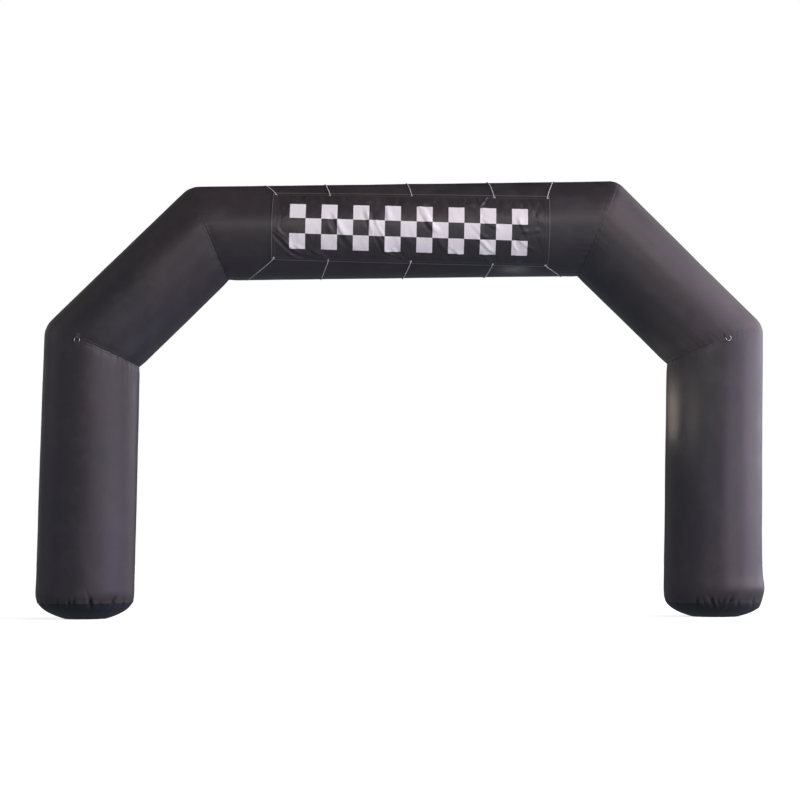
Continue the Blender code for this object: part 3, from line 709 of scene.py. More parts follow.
def gather_depths(side, bearings, above):
    """Depth of a foot seam's gathers at bearings in degrees and heights above the seam."""
    total = np.zeros(len(bearings))
    for middle, depth, half_width, rise_reach, fall_reach, lean, _ in FOOT_GATHERS[side]:
        reach = np.where(above > 0, rise_reach, fall_reach)
        narrowing = 1.0 + 1.2 * np.abs(above) / reach
        away = (bearings - middle - lean * above / 0.1 + 180) % 360 - 180
        fade = np.exp(-((np.abs(above) / reach) ** 1.5))
        total += depth * gauss(away, half_width * 1.4 / np.sqrt(narrowing)) * fade
        total -= 0.35 * depth * gauss(np.abs(away) - 2.6 * half_width, 1.6 * half_width) * fade
    return total


def seam_lift(side, bearings):
    """How far the gathers pull the foot seam up at bearings in degrees."""
    total = np.zeros(len(bearings))
    for middle, _, half_width, _, _, _, lift in FOOT_GATHERS[side]:
        away = (bearings - middle + 180) % 360 - 180
        total += lift * gauss(away, half_width * 1.5)
    return total


def seam_profile(away, lap_width, lap_height):
    """Height of the cloth beside a lapped and twice stitched seam."""
    lap = lap_height * (1 - rise(away, lap_width - LAP_EDGE, lap_width + LAP_EDGE))
    valley = -0.0008 * gauss(away, 0.0028)
    stitches = -0.0005 * sum(gauss(away - groove, 0.0016) for groove in STITCH_GROOVES)
    return lap + valley + stitches


def make_skin(panel, settings):
    """One tube panel's skin: rolled, laid on the solid's shape, then lapped and puckered."""
    table = ring_table(axis_length(panel))
    blank = rolled_tube(settings.points_round, len(table) - 2)
    angles, ring = blank_places(blank, len(table))
    rows = table[ring]
    directions = panel.directions(angles)
    tree = surface_tree(panel.name)
    axis, along = np.array(panel.start), np.array(panel.along)
    ends = []
    for radius in (0.0, PROBE_REACH):
        here, low, high = ring_distances(panel, directions, np.full(len(angles), radius), rows)
        here = np.clip(here, low + PROBE_INSET, high - PROBE_INSET)
        ends.append(axis + np.outer(here, along) + directions * radius)
    radii = probe_radii(tree, *ends)
    here, low, high = ring_distances(panel, directions, radii, rows)

    from_start, from_end = here - low, high - here
    height = np.zeros(len(angles))
    seed = PANELS.index(panel.name) + 1
    for number, away in enumerate((from_start, from_end)):
        height += seam_profile(away, settings.lap_width, settings.lap_height)
        side = foot_side(panel, number)
        if side:
            bearings = np.degrees(np.arctan2(directions[:, 0], -directions[:, 1]))
            lift = seam_lift(side, bearings) * gauss(away, SEAM_LIFT_REACH)
            here = here + lift * (1 if number == 0 else -1)
            height -= gather_depths(side, bearings, away)
        else:
            puckers = seam_puckers(seed * 10 + number, PUCKERS_ROUND, settings.pucker_depth)
            height -= pucker_depths(puckers, angles, away)
    points = axis + np.outer(here, along) + directions * radii[:, None]
    nearest = np.minimum(from_start, from_end)
    calm = rise(nearest, 0.0, 0.10)
    height += settings.unevenness * calm * (
        waves(points, BROAD_WAVE, seed) + 0.45 * waves(points, SMALL_WAVE, seed + 20)
    )
    points += directions * height[:, None]
    set_mesh_points(blank, points)
    set_attribute(blank, "seam_distance", nearest)
    cloth_uv(blank, angles, here)
    return blank


def axis_length(panel):
    """Length of the panel's axis between its cuts."""
    here = np.array([[0.0, 0.0, 0.0]])
    low, high = panel.cut_distances(here, np.array([0.0]))
    return float(high[0] - low[0])


def foot_side(panel, end):
    """Which foot an end of a panel stands on: end 0 is its start, end 1 its far end."""
    return {("leg_left", 0): "left", ("leg_right", 1): "right"}.get((panel.name, end))


# ---------------------------------------------------------------- feet

FOOT_RINGS = 44
FOOT_RING_SPREAD = 1.35


def make_foot(side, settings):
    """A dished foot panel, gathered at its seam and flat where it stands."""
    blank = rolled_tube(settings.points_round, FOOT_RINGS - 2)
    angles, ring = blank_places(blank, FOOT_RINGS)
    down = 1 - ring / (FOOT_RINGS - 1)
    seam = FOOT_SEAM_HEIGHT[side] - FIT_GAP / 4
    heights = seam * (1 - down) ** FOOT_RING_SPREAD
    directions = np.stack((np.sin(angles), -np.cos(angles), np.zeros(len(angles))), axis=1)
    tree = surface_tree("foot_" + side)
    start = FOOT_PLACE[side]
    lean = (SHOULDER[side] - start) / SHOULDER[side].z
    axis = np.array(start) + np.outer(heights, np.array((lean.x, 0.0, 1.0)))
    axis[:, 2] = heights
    probe = axis.copy()
    probe[:, 2] = np.clip(heights, PROBE_INSET, seam - PROBE_INSET)
    radii = probe_radii(tree, probe, probe + directions * PROBE_REACH)
    resting = rise(heights, 0.0, 0.035)
    below = heights - FOOT_SEAM_HEIGHT[side]
    bearings = np.degrees(angles)
    gathers = gather_depths(side, bearings, below)
    away = (seam - heights) * 1.1
    height = seam_profile(away, settings.lap_width, 0.0) - gathers * resting
    outward = directions.copy()
    outward[:, 2] = -FOOT_TILT * rise(away, 0.0, 0.08) * resting
    points = axis + directions * radii[:, None] + outward * height[:, None]
    points[:, 2] += seam_lift(side, bearings) * gauss(away, SEAM_LIFT_REACH * 0.7) * resting
    points[:, 2] = np.maximum(points[:, 2], 0.0)
    set_mesh_points(blank, points)
    set_attribute(blank, "seam_distance", away)
    cloth_uv(blank, angles, away)
    return blank


# ---------------------------------------------------------------- places on the crossbeam


class Beam:
    """Places on the crossbeam by x and by the angle above its front line in degrees."""

    def __init__(self):
        self.start, self.end = CROWN["left"], CROWN["right"]
        self.along = (self.end - self.start).normalized()
        self.outward = Vector((-self.along.z, 0.0, self.along.x))

    def out(self, angle):
        turn = radians(angle)
        return FRONT * cos(turn) + self.outward * sin(turn)

    def axis(self, x):
        share = (x - self.start.x) / (self.end.x - self.start.x)
        return self.start + (self.end - self.start) * share

    def place(self, x, angle, standoff):
        return self.axis(x) + self.out(angle) * (TUBE_RADIUS + standoff)


def banner_place(along, up):
    """(x, angle) of a point of the banner given as fractions from its lower left corner."""
    edges = ((BANNER_BOTTOM_LEFT, BANNER_BOTTOM_RIGHT), (BANNER_TOP_LEFT, BANNER_TOP_RIGHT))
    low, high = (np.array(left) + along * np.subtract(right, left) for left, right in edges)
    return low + up * (high - low)


def banner_size():
    """Length and height of the banner when laid flat."""
    length = BANNER_TOP_RIGHT[0] - BANNER_TOP_LEFT[0]
    left = BANNER_TOP_LEFT[1] - BANNER_BOTTOM_LEFT[1]
    right = BANNER_TOP_RIGHT[1] - BANNER_BOTTOM_RIGHT[1]
    return length, radians((left + right) / 2) * (TUBE_RADIUS + BANNER_STANDOFF)


def centre_of(node):
    low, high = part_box(node)
    return (Vector(low) + Vector(high)) / 2


def eyelet_nodes():
    return [
        "eyelet_{}_{}".format(level, number)
        for level in ("upper", "lower")
        for number in range(1, CORD_COUNT + 1)
    ]


def eyelet_frame(beam, node):
    """Matrix at an eyelet's centre with Z out of the cloth."""
    centre = centre_of(node)
    foot = beam.start + beam.along * (centre - beam.start).dot(beam.along)
    outward = (centre - foot).normalized()
    return axes_at(centre, beam.along, outward.cross(beam.along), outward)


# ---------------------------------------------------------------- banner


def wandering(flat):
    """The flat cloth's places, shifted a little so that straight creases wander."""
    noise.seed_set(CREASE_SEED)
    shift = [
        noise.noise_vector(Vector((u * 9.0, v * 9.0, 0.7))) * 0.011
        + noise.noise_vector(Vector((u * 31.0, v * 31.0, 4.3))) * 0.0035
        for u, v in flat
    ]
    return flat + np.array([(place.x, place.y) for place in shift])


def crease_heights(flat):
    """Height of all listed creases at points of the flat cloth: one flank steep, one soft."""
    total = np.zeros(len(flat))
    flat = wandering(flat)
    for number, (along0, up0, along1, up1, crest, half_width) in enumerate(BANNER_CREASES):
        start = np.array((along0, up0))
        run = np.array((along1 - along0, up1 - up0))
        size = hypot(*run)
        unit = run / size
        here = flat - start
        t = here @ unit
        aside = here[:, 0] * unit[1] - here[:, 1] * unit[0]
        aside = aside - 0.05 * size * np.sin(np.clip(t / size, 0, 1) * pi)
        beyond = np.maximum(np.maximum(-t, t - size), 0.0)
        swell = 1.0 + 0.45 * np.sin(t / size * 5.0 + number)
        steep, soft = half_width * 0.75, half_width * 1.9
        ridge = np.where(aside > 0, gauss(aside, steep), gauss(aside, soft))
        trough = gauss(aside - 2.1 * steep, steep)
        total += crest * swell * (ridge - 0.45 * trough) * gauss(beyond, CREASE_END)
    return total


def fine_creases(flat):
    """Small sharp-edged crumples all over the loose middle of the cloth."""
    return np.array(
        [
            abs(noise.noise(Vector((u * 11.0 + v * 4.0, v * 7.0 - u * 2.0, 3.1)))) * 1.6
            + abs(noise.noise(Vector((u * 27.0, v * 19.0, 8.7)))) * 0.6
            for u, v in flat
        ]
    )


def hem_height(edge, settings):
    """Height of the turned hem over the single cloth, and of its stitched line."""
    width = settings.hem_width
    hem = settings.hem_height * (1 - rise(edge, width - LAP_EDGE, width + LAP_EDGE))
    line = -0.0005 * gauss(edge - (width - 0.004), 0.003)
    return hem + line + 0.0006 * gauss(edge, 0.003)


def make_banner(settings):
    """A grid wrapped on the crossbeam, creased, hemmed and thickened."""
    cloth = added(
        bpy.ops.mesh.primitive_grid_add,
        x_subdivisions=settings.cells_along, y_subdivisions=settings.cells_up, size=1.0,
    )
    beam = Beam()
    length, height = banner_size()
    share = mesh_points(cloth)[:, :2] + 0.5
    share[:, 0] = spread_to_edges(share[:, 0], length)
    share[:, 1] = spread_to_edges(share[:, 1], height)
    flat = share * np.array((length, height))
    edge = np.minimum(flat, np.array((length, height)) - flat).min(axis=1)
    loose = rise(edge, 0.028, 0.062) * (2.0 - rise(edge, 0.090, 0.150))
    folds = crease_heights(flat) * rise(edge, 0.010, 0.040)
    folds += CRUMPLE_HEIGHT * (fine_creases(flat) - CRUMPLE_MEAN) * loose
    standoff = BANNER_STANDOFF + np.maximum(folds, LOWEST_CREASE) + hem_height(edge, settings)
    points = []
    for (along, up), off in zip(share, standoff):
        x, angle = banner_place(along, up)
        points.append(beam.place(x, angle, off))
    set_mesh_points(cloth, points)
    loops = whole_numbers(cloth.data.loops, "vertex_index")
    cloth_layer(cloth.data).data.foreach_set("uv", flat[loops].ravel())
    set_attribute(cloth, "edge_distance", edge)
    wall = cloth.modifiers.new("cloth thickness", "SOLIDIFY")
    wall.thickness = settings.thickness
    wall.offset = -1.0
    apply_modifiers(cloth)
    return cloth


def spread_to_edges(share, size):
    """Draws grid lines together towards both edges, where the hem needs a finer grid."""
    return share - GRID_DRAW / max(size, 0.3) * np.sin(share * 2 * pi) * 0.9


def cut_eyelet_holes(cloth, radius):
    """Cuts the round holes of the eyelets with one joined cutter."""
    beam = Beam()
    pegs = []
    for node in eyelet_nodes():
        peg = added(bpy.ops.mesh.primitive_cylinder_add, vertices=24, radius=radius, depth=0.02)
        peg.matrix_world = eyelet_frame(beam, node)
        pegs.append(peg)
    deselect()
    for peg in pegs:
        peg.select_set(True)
    bpy.context.view_layer.objects.active = pegs[0]
    bpy.ops.object.join()
    cutter = bpy.context.object
    hole = cloth.modifiers.new("eyelet holes", "BOOLEAN")
    hole.operation = "DIFFERENCE"
    hole.solver = "EXACT"
    hole.object = cutter
    apply_modifiers(cloth)
    bpy.data.objects.remove(cutter, do_unlink=True)


# ---------------------------------------------------------------- stitching


def stitch_blank(length, thickness):
    """One stitch: a small ball drawn out along X."""
    blank = added(bpy.ops.mesh.primitive_ico_sphere_add, subdivisions=1, radius=0.5)
    blank.scale = (length, thickness, thickness)
    freeze(blank)
    return blank


def resample(points, pitch, closed):
    """Points at an even pitch along a line, with the line's direction at each."""
    line = np.asarray(points, dtype=float)
    if closed:
        line = np.vstack((line, line[:1]))
    steps, travelled = travel(line)
    count = max(2, int(travelled[-1] / pitch))
    places = (np.arange(count) + 0.5) * travelled[-1] / count
    found = np.stack([np.interp(places, travelled, line[:, i]) for i in range(3)], axis=1)
    index = np.clip(np.searchsorted(travelled, places) - 1, 0, len(steps) - 1)
    headings = (line[index + 1] - line[index]) / np.maximum(steps[index], 1e-9)[:, None]
    return found, headings


def sew(name, lines, stitch_length, thickness, material, slot):
    """Stitches along lines of (points, outward directions, closed), as one piece."""
    blank = stitch_blank(stitch_length, thickness)
    shape = mesh_points(blank)
    faces = [tuple(face.vertices) for face in blank.data.polygons]
    points, polygons = [], []
    for line, outwards, closed in lines:
        pitch = stitch_length * STITCH_PITCH
        places, headings = resample(line, pitch, closed)
        tops, _ = resample(np.asarray(line) + np.asarray(outwards), pitch, closed)
        for place, heading, top in zip(places, headings, tops):
            up = top - place
            up = up - heading * (up @ heading)
            up = up / max(np.linalg.norm(up), 1e-9)
            across = np.cross(up, heading)
            base = len(points)
            turned = shape @ np.stack((heading, across, up)) + place
            points.extend(turned)
            polygons.extend(tuple(base + i for i in face) for face in faces)
    mesh = bpy.data.meshes.new(name)
    mesh.from_pydata([tuple(p) for p in points], [], polygons)
    mesh.update()
    old, blank.data = blank.data, mesh
    bpy.data.meshes.remove(old)
    return finish_piece(blank, name, material, smooth=STITCH_SMOOTH)


def skin_line(skin, panel, distance, from_end):
    """Closed line round a skin at a distance from one of its seams, with outward directions."""
    points = mesh_points(skin)
    axis, along = np.array(panel.start), np.array(panel.along)
    flat = points - axis
    off = flat - np.outer(flat @ along, along)
    radii = np.linalg.norm(off, axis=1)
    directions = off / np.maximum(radii, 1e-9)[:, None]
    low, high = panel.cut_distances(directions, radii)
    here = flat @ along
    away = high - here if from_end else here - low
    chosen = np.abs(away - distance) < ROW_TOLERANCE
    angles = np.arctan2(directions @ np.array(FRONT), directions @ np.array(panel.outward))
    order = np.argsort(angles[chosen])
    line, out = points[chosen][order], directions[chosen][order]
    return line + out * STITCH_LIFT, out * 0.01, True


# ---------------------------------------------------------------- cords


def cord_centreline(node, start_node):
    """Middle line of a cord's solid, walked ring by ring from the eyelet it starts in."""
    bm = bmesh.new()
    bm.from_mesh(frame["nodes"][node].data)
    bmesh.ops.remove_doubles(bm, verts=bm.verts, dist=MERGE_DISTANCE)
    bmesh.ops.dissolve_limit(bm, angle_limit=radians(0.5), verts=bm.verts, edges=bm.edges)
    caps = [face for face in bm.faces if len(face.verts) > 5]
    begin = centre_of(start_node)
    first = min(caps, key=lambda face: (face.calc_center_median() - begin).length)
    ring = set(first.verts)
    seen = set(ring)
    middles = []
    while ring:
        middles.append(Vector([fsum(v.co[i] for v in ring) / len(ring) for i in range(3)]))
        ring = {e.other_vert(v) for v in ring for e in v.link_edges} - seen
        seen |= ring
    bm.free()
    return middles


def make_cord(node, start_node, settings):
    """A braided cord: a smooth curve through its route, swept into a round tube."""
    route = cord_centreline(node, start_node)
    curve = bpy.data.curves.new(node, "CURVE")
    curve.dimensions = "3D"
    curve.resolution_u = 4
    curve.bevel_depth = settings.cord_diameter / 2
    curve.bevel_resolution = 4
    curve.use_fill_caps = True
    spline = curve.splines.new("NURBS")
    spline.points.add(len(route) - 1)
    for point, place in zip(spline.points, route):
        point.co = (*place, 1.0)
    spline.order_u = 3
    spline.use_endpoint_u = True
    cord = bpy.data.objects.new(node + "_braid", curve)
    bpy.context.scene.collection.objects.link(cord)
    pick(cord)
    bpy.ops.object.convert(target="MESH")
    cord = bpy.context.object
    with editing(cord):
        close_up(MERGE_DISTANCE)
    return cord, route


def cord_uv(cord, route, radius):
    """UV map in metres along and round a cord, for its braid."""
    line = np.array([tuple(p) for p in route])
    _, travelled = travel(line)
    points = mesh_points(cord)
    along = np.zeros(len(points))
    around = np.zeros(len(points))
    for i, point in enumerate(points):
        nearest = int(np.argmin(np.sum((line - point) ** 2, axis=1)))
        low, high = max(nearest - 1, 0), min(nearest + 1, len(line) - 1)
        heading = line[high] - line[low]
        heading = heading / np.linalg.norm(heading)
        away = point - line[nearest]
        along[i] = travelled[nearest] + away @ heading
        side = np.cross(heading, (0.0, 1.0, 0.0) if abs(heading[1]) < 0.8 else (1.0, 0.0, 0.0))
        side = side / np.linalg.norm(side)
        around[i] = np.arctan2(away @ np.cross(heading, side), away @ side)
    cloth_uv(cord, around, along, radius=radius)


# ---------------------------------------------------------------- eyelets, tabs and rings


def make_eyelet(node, settings):
    """A rolled two-part eyelet: its profile is spun round the hole's axis in edit mode."""
    hole, rim = settings.eyelet_hole_radius, settings.eyelet_rim_radius
    eyelet = added(
        bpy.ops.mesh.primitive_circle_add, vertices=14, radius=1.0, fill_type="NOTHING"
    )
    middle, spread = (hole + rim) / 2, (rim - hole) / 2
    with editing(eyelet) as bm:
        for vert in bm.verts:
            turn = np.arctan2(vert.co.y, vert.co.x)
            swell = 0.55 + 0.45 * abs(sin(turn))
            height = EYELET_HALF_HEIGHT * swell * sin(turn)
            vert.co = Vector((middle + spread * cos(turn), 0.0, height))
        bpy.ops.mesh.select_all(action="SELECT")
        bpy.ops.mesh.spin(
            steps=28, angle=2 * pi, center=(0.0, 0.0, 0.0), axis=(0.0, 0.0, 1.0), dupli=False
        )
        close_up(2 * MERGE_DISTANCE)
    eyelet.matrix_world = eyelet_frame(Beam(), node)
    return eyelet


def ring_frame(side, settings):
    """Matrix of the D-ring's bar: X along the bar, Y out of the fabric, Z up along the tab."""
    panels = tube_panels()
    arm = panels["arm_" + side]
    shoulder = SHOULDER[side]
    cut_normal = arm.cuts[0][1] if side == "left" else arm.cuts[1][1]
    seam_rise = -cut_normal.x / cut_normal.z * RING_OFFSET_X[side]
    bar = shoulder + Vector((RING_OFFSET_X[side], 0.0, seam_rise))
    up = Vector((-sin(RING_TILT[side]), 0.0, cos(RING_TILT[side])))
    half_tab = settings.tab_height / 2
    middle = bar + up * half_tab
    lean = (middle - shoulder).dot(arm.outward) / TUBE_RADIUS
    out = (FRONT * cos(lean) + arm.outward * sin(lean)).normalized()
    axis_point = shoulder + arm.along * (middle - shoulder).dot(arm.along)
    up = (up - out * up.dot(out)).normalized()
    place = axis_point + out * (TUBE_RADIUS - TAB_SINK[side] + FIT_GAP) - up * half_tab
    return axes_at(place, out.cross(up), out, up)


def make_ring(side, settings):
    """A welded D-ring: a torus whose upper part is drawn out to a straight bar."""
    wire = settings.ring_wire / 2
    half = settings.ring_width / 2 + wire
    ring = added(
        bpy.ops.mesh.primitive_torus_add,
        major_segments=RING_SEGMENTS, minor_segments=16, major_radius=half, minor_radius=wire,
    )
    bar_y = settings.tab_thickness + TAB_SLACK + wire
    outline = d_outline(half)
    points = mesh_points(ring)
    turned = []
    angle = np.arctan2(points[:, 1], points[:, 0])
    segment = np.rint((angle % (2 * pi)) / (2 * pi) * RING_SEGMENTS).astype(int) % RING_SEGMENTS
    turn = segment * 2 * pi / RING_SEGMENTS
    centre_dir = np.stack((np.cos(turn), np.sin(turn)), axis=1)
    radial = np.sum(points[:, :2] * centre_dir, axis=1) - half
    for seg, off, z in zip(segment, radial, points[:, 2]):
        place, normal = outline[seg]
        turned.append((place[0] + normal[0] * off, bar_y + z, place[1] + normal[1] * off))
    set_mesh_points(ring, turned)
    with editing(ring):
        close_up()
    ring.matrix_world = ring_frame(side, settings)
    return ring


def d_outline(half):
    """Even points and outward normals round a D: bar on top, half round below."""
    corner = RING_CORNER
    line = arc(half - corner, -corner, corner, 0.0, pi / 2, 12)
    line += arc(-half + corner, -corner, corner, pi / 2, pi / 2, 12)
    line += arc(0.0, -RING_STRAIGHT, half, pi, pi, 48)
    closed = np.array(line + line[:1])
    _, travelled = travel(closed)
    places = np.arange(RING_SEGMENTS) * travelled[-1] / RING_SEGMENTS
    xs, zs = (np.interp(places, travelled, column) for column in closed.T)
    found = []
    for i in range(RING_SEGMENTS):
        ahead, behind = (i + 1) % RING_SEGMENTS, i - 1
        heading = np.array((xs[ahead] - xs[behind], zs[ahead] - zs[behind]))
        heading = heading / np.linalg.norm(heading)
        found.append(((xs[i], zs[i]), (heading[1], -heading[0])))
    return found


def tab_side_view(settings):
    """Side view of the folded tab as (out of the fabric, up) points, open at its top."""
    wire = settings.ring_wire / 2
    thickness = settings.tab_thickness
    bar = thickness + TAB_SLACK + wire
    back, front = thickness / 2, thickness * 1.5 + 0.0001
    middle = bar - back
    height, head = settings.tab_height, settings.tab_height - TAB_HEAD_INSET
    return [
        (back, head), (back, height * 0.5), (back, 0.006),
        *arc(bar, 0.0, middle, pi, pi, 12),
        (bar + middle * 0.82, 0.004), (thickness * 1.5 + 0.0012, 0.011), (front, 0.015),
        (front, height * 0.6), (front, head),
    ]


def make_tab(side, settings):
    """Webbing folded round the ring's bar: its middle line, extruded sideways and thickened."""
    tab = added(bpy.ops.mesh.primitive_plane_add, size=1.0)
    line = tab_side_view(settings)
    half = settings.tab_width / 2 - TAB_INSET
    with editing(tab) as bm:
        bmesh.ops.delete(bm, geom=bm.verts[:], context="VERTS")
        first = bm.verts.new((-half, line[0][0], line[0][1]))
        last = first
        for out, up in line[1:]:
            vert = bm.verts.new((-half, out, up))
            bm.edges.new((last, vert))
            last = vert
        bm.normal_update()
        bpy.ops.mesh.select_all(action="SELECT")
        for _ in range(TAB_CELLS):
            bpy.ops.mesh.extrude_region_move(
                TRANSFORM_OT_translate={"value": (2 * half / TAB_CELLS, 0.0, 0.0)}
            )
        close_up()
    for loop, data in zip(tab.data.loops, cloth_layer(tab.data).data):
        place = tab.data.vertices[loop.vertex_index].co
        data.uv = (place.x, place.z)
    wall = tab.modifiers.new("webbing thickness", "SOLIDIFY")
    wall.thickness = settings.tab_thickness - 0.0002
    wall.offset = 0.0
    softened = tab.modifiers.new("soft edges", "BEVEL")
    softened.width = 0.0005
    softened.segments = 2
    softened.limit_method = "ANGLE"
    softened.angle_limit = radians(50)
    apply_modifiers(tab)
    tab.matrix_world = ring_frame(side, settings)
    return tab


def tab_stitch_lines(side, settings):
    """Box and cross of stitches that hold a tab to the arm."""
    matrix = ring_frame(side, settings)
    front = 2 * settings.tab_thickness + 0.0003
    half = settings.tab_width / 2 - TAB_BOX_INSET
    low, high = TAB_BOX_FOOT, settings.tab_height - 0.004
    corners = [(-half, low), (half, low), (half, high), (-half, high)]
    out = np.array(matrix.to_3x3() @ Vector((0.0, 0.01, 0.0)))
    lines = []
    routes = [corners + corners[:1], (corners[0], corners[2]), (corners[1], corners[3])]
    for route in routes:
        for a, b in zip(route, route[1:]):
            ends = [matrix @ Vector((x, front, z)) for x, z in (a, b)]
            lines.append((np.array([tuple(p) for p in ends]), np.array([out, out]), False))
    return lines


# ---------------------------------------------------------------- shader node groups

# Turn from a tube's outer side to the line of its closing seam, on the back.
BACK_SEAM_TURN = radians(-96)


def new_group(name, inputs, outputs):
    """An empty shader node group with named sockets: (name, kind, default) and (name, kind)."""
    group = bpy.data.node_groups.new(name, "ShaderNodeTree")
    for label, kind, default in inputs:
        socket = group.interface.new_socket(
            name=label, in_out="INPUT", socket_type="NodeSocket" + kind
        )
        if default is not None:
            socket.default_value = default
    for label, kind in outputs:
        group.interface.new_socket(
            name=label, in_out="OUTPUT", socket_type="NodeSocket" + kind
        )
    enter = group.nodes.new("NodeGroupInput").outputs
    leave = group.nodes.new("NodeGroupOutput").inputs
    return enter, leave, Wiring(group)


class Wiring:
    """Short calls to add and join nodes in one tree."""

    def __init__(self, tree):
        self.tree = tree

    def node(self, kind, **values):
        node = self.tree.nodes.new(kind)
        for key, value in values.items():
            setattr(node, key, value)
        return node

    def feed(self, socket, value):
        if isinstance(value, bpy.types.NodeSocket):
            self.tree.links.new(value, socket)
        else:
            socket.default_value = value

    def maths(self, operation, *values):
        node = self.node("ShaderNodeMath", operation=operation)
        for socket, value in zip(node.inputs, values):
            self.feed(socket, value)
        return node.outputs[0]

    def gap(self, value, other):
        """How far a value is from another."""
        return self.maths("ABSOLUTE", self.maths("SUBTRACT", value, other))

    def blend(self, factor, first, second):
        node = self.node("ShaderNodeMix", data_type="RGBA")
        self.feed(node.inputs["Factor"], factor)
        self.feed(node.inputs[6], first)
        self.feed(node.inputs[7], second)
        return node.outputs[2]

    def spread(self, value, low, high, new_low=0.0, new_high=1.0):
        """A smooth step from one number to another while the value goes from low to high."""
        node = self.node("ShaderNodeMapRange", clamp=True, interpolation_type="SMOOTHSTEP")
        for socket, number in zip(node.inputs, (value, low, high, new_low, new_high)):
            self.feed(socket, number)
        return node.outputs["Result"]

    def split(self, vector):
        """The three parts of a vector."""
        node = self.node("ShaderNodeSeparateXYZ")
        self.feed(node.inputs[0], vector)
        return node.outputs

    def cloth(self):
        """Places on the cloth in metres, from its UV map."""
        return self.node("ShaderNodeUVMap", uv_map="cloth").outputs["UV"]

    def place(self):
        """Places in the arch's own frame, in metres."""
        return self.node("ShaderNodeTexCoord").outputs["Object"]

    def attribute(self, name):
        return self.node("ShaderNodeAttribute", attribute_name=name).outputs["Fac"]

    def squares(self, across, along):
        """0 and 1 by turns on the unit squares of a chequer."""
        cells = self.maths("ADD", self.maths("FLOOR", across), self.maths("FLOOR", along))
        return self.maths("PINGPONG", cells, 1.0)

    def grain(self, vector, scale, detail=3.0, roughness=0.55):
        node = self.node("ShaderNodeTexNoise")
        values = {"Vector": vector, "Scale": scale, "Detail": detail, "Roughness": roughness}
        for label, value in values.items():
            self.feed(node.inputs[label], value)
        return node.outputs["Fac"]


def plain_weave_group():
    """Over-and-under threads of a plain weave, on cloth coordinates in metres."""
    enter, leave, wire = new_group(
        "plain_weave",
        (("Cloth", "Vector", None), ("Thread", "Float", 0.0008)),
        (("Height", "Float"), ("Gaps", "Float")),
    )
    split = wire.split(enter["Cloth"])
    threads = [wire.maths("DIVIDE", split[i], enter["Thread"]) for i in (0, 1)]
    humps = []
    for value in threads:
        swing = wire.maths("SINE", wire.maths("MULTIPLY", value, pi))
        humps.append(wire.maths("ABSOLUTE", swing))
    mix = wire.node("ShaderNodeMix", data_type="FLOAT")
    wire.feed(mix.inputs[0], wire.squares(*threads))
    wire.feed(mix.inputs[2], humps[0])
    wire.feed(mix.inputs[3], humps[1])
    gaps = wire.maths("SUBTRACT", 1.0, wire.maths("MAXIMUM", humps[0], humps[1]))
    wire.feed(leave["Height"], mix.outputs[0])
    wire.feed(leave["Gaps"], gaps)
    return wire.tree


def handling_group():
    """Broad tint and gloss changes of used cloth: handling, dust and faint creases."""
    enter, leave, wire = new_group(
        "handling",
        (
            ("Place", "Vector", None),
            ("Base", "Color", (0.1, 0.1, 0.1, 1.0)),
            ("Dust", "Float", 0.1),
        ),
        (
            ("Color", "Color"),
            ("Gloss Shift", "Float"),
            ("Creases", "Float"),
        ),
    )
    place = enter["Place"]
    broad = wire.grain(place, 1.1, 2.0)
    patchy = wire.grain(place, 6.0, 4.0)
    fine = wire.grain(place, 90.0, 3.0)
    plain = enter["Base"]
    warm = wire.blend(0.5, plain, (0.120, 0.095, 0.100, 1.0))
    cool = wire.blend(0.5, plain, (0.060, 0.070, 0.085, 1.0))
    base = wire.blend(0.30, plain, wire.blend(wire.spread(broad, 0.38, 0.62), cool, warm))
    dusty = wire.maths("MULTIPLY", wire.spread(patchy, 0.42, 0.75), enter["Dust"])
    dusty = wire.maths("MULTIPLY", dusty, wire.spread(fine, 0.35, 0.65, 0.6, 1.0))
    colour = wire.blend(dusty, base, (0.30, 0.28, 0.27, 1.0))
    gloss = wire.spread(patchy, 0.3, 0.7, -0.04, 0.05)
    wire.feed(leave["Color"], colour)
    wire.feed(leave["Gloss Shift"], gloss)
    wire.feed(leave["Creases"], wire.grain(place, 14.0, 5.0, 0.6))
    return wire.tree


def closing_seam_group():
    """A lengthwise lapped seam with two rows of stitches, by distance from its line in metres."""
    enter, leave, wire = new_group(
        "closing_seam",
        (
            ("Aside", "Float", 0.0),
            ("Along", "Float", 0.0),
            ("Lap", "Float", 0.020),
            ("Stitch", "Float", 0.0064),
        ),
        (("Height", "Float"), ("Thread", "Float"), ("Edge", "Float")),
    )
    aside, lap = enter["Aside"], enter["Lap"]
    upper = wire.spread(aside, -0.0008, 0.0008)
    lower = wire.spread(wire.maths("SUBTRACT", aside, lap), -0.0008, 0.0008, 1.0, 0.0)
    raised = wire.maths("MULTIPLY", upper, lower)
    dash = wire.maths("DIVIDE", enter["Along"], enter["Stitch"])
    sewn = wire.spread(wire.gap(wire.maths("FRACT", dash), 0.5), 0.36, 0.42, 1.0, 0.0)
    rows = []
    for share in (0.28, 0.72):
        away = wire.gap(aside, wire.maths("MULTIPLY", lap, share))
        rows.append(wire.spread(away, 0.0004, 0.0009, 1.0, 0.0))
    rows = wire.maths("MAXIMUM", *rows)
    thread = wire.maths("MULTIPLY", rows, sewn)
    edge = wire.spread(wire.maths("ABSOLUTE", aside), 0.0, 0.0022, 1.0, 0.0)
    height = wire.maths("ADD", raised, wire.maths("MULTIPLY", thread, 0.7))
    height = wire.maths("SUBTRACT", height, wire.maths("MULTIPLY", rows, 0.3))
    wire.feed(leave["Height"], height)
    wire.feed(leave["Thread"], thread)
    wire.feed(leave["Edge"], edge)
    return wire.tree


GROUPS = {
    "plain_weave": plain_weave_group,
    "handling": handling_group,
    "closing_seam": closing_seam_group,
}


# ---------------------------------------------------------------- materials


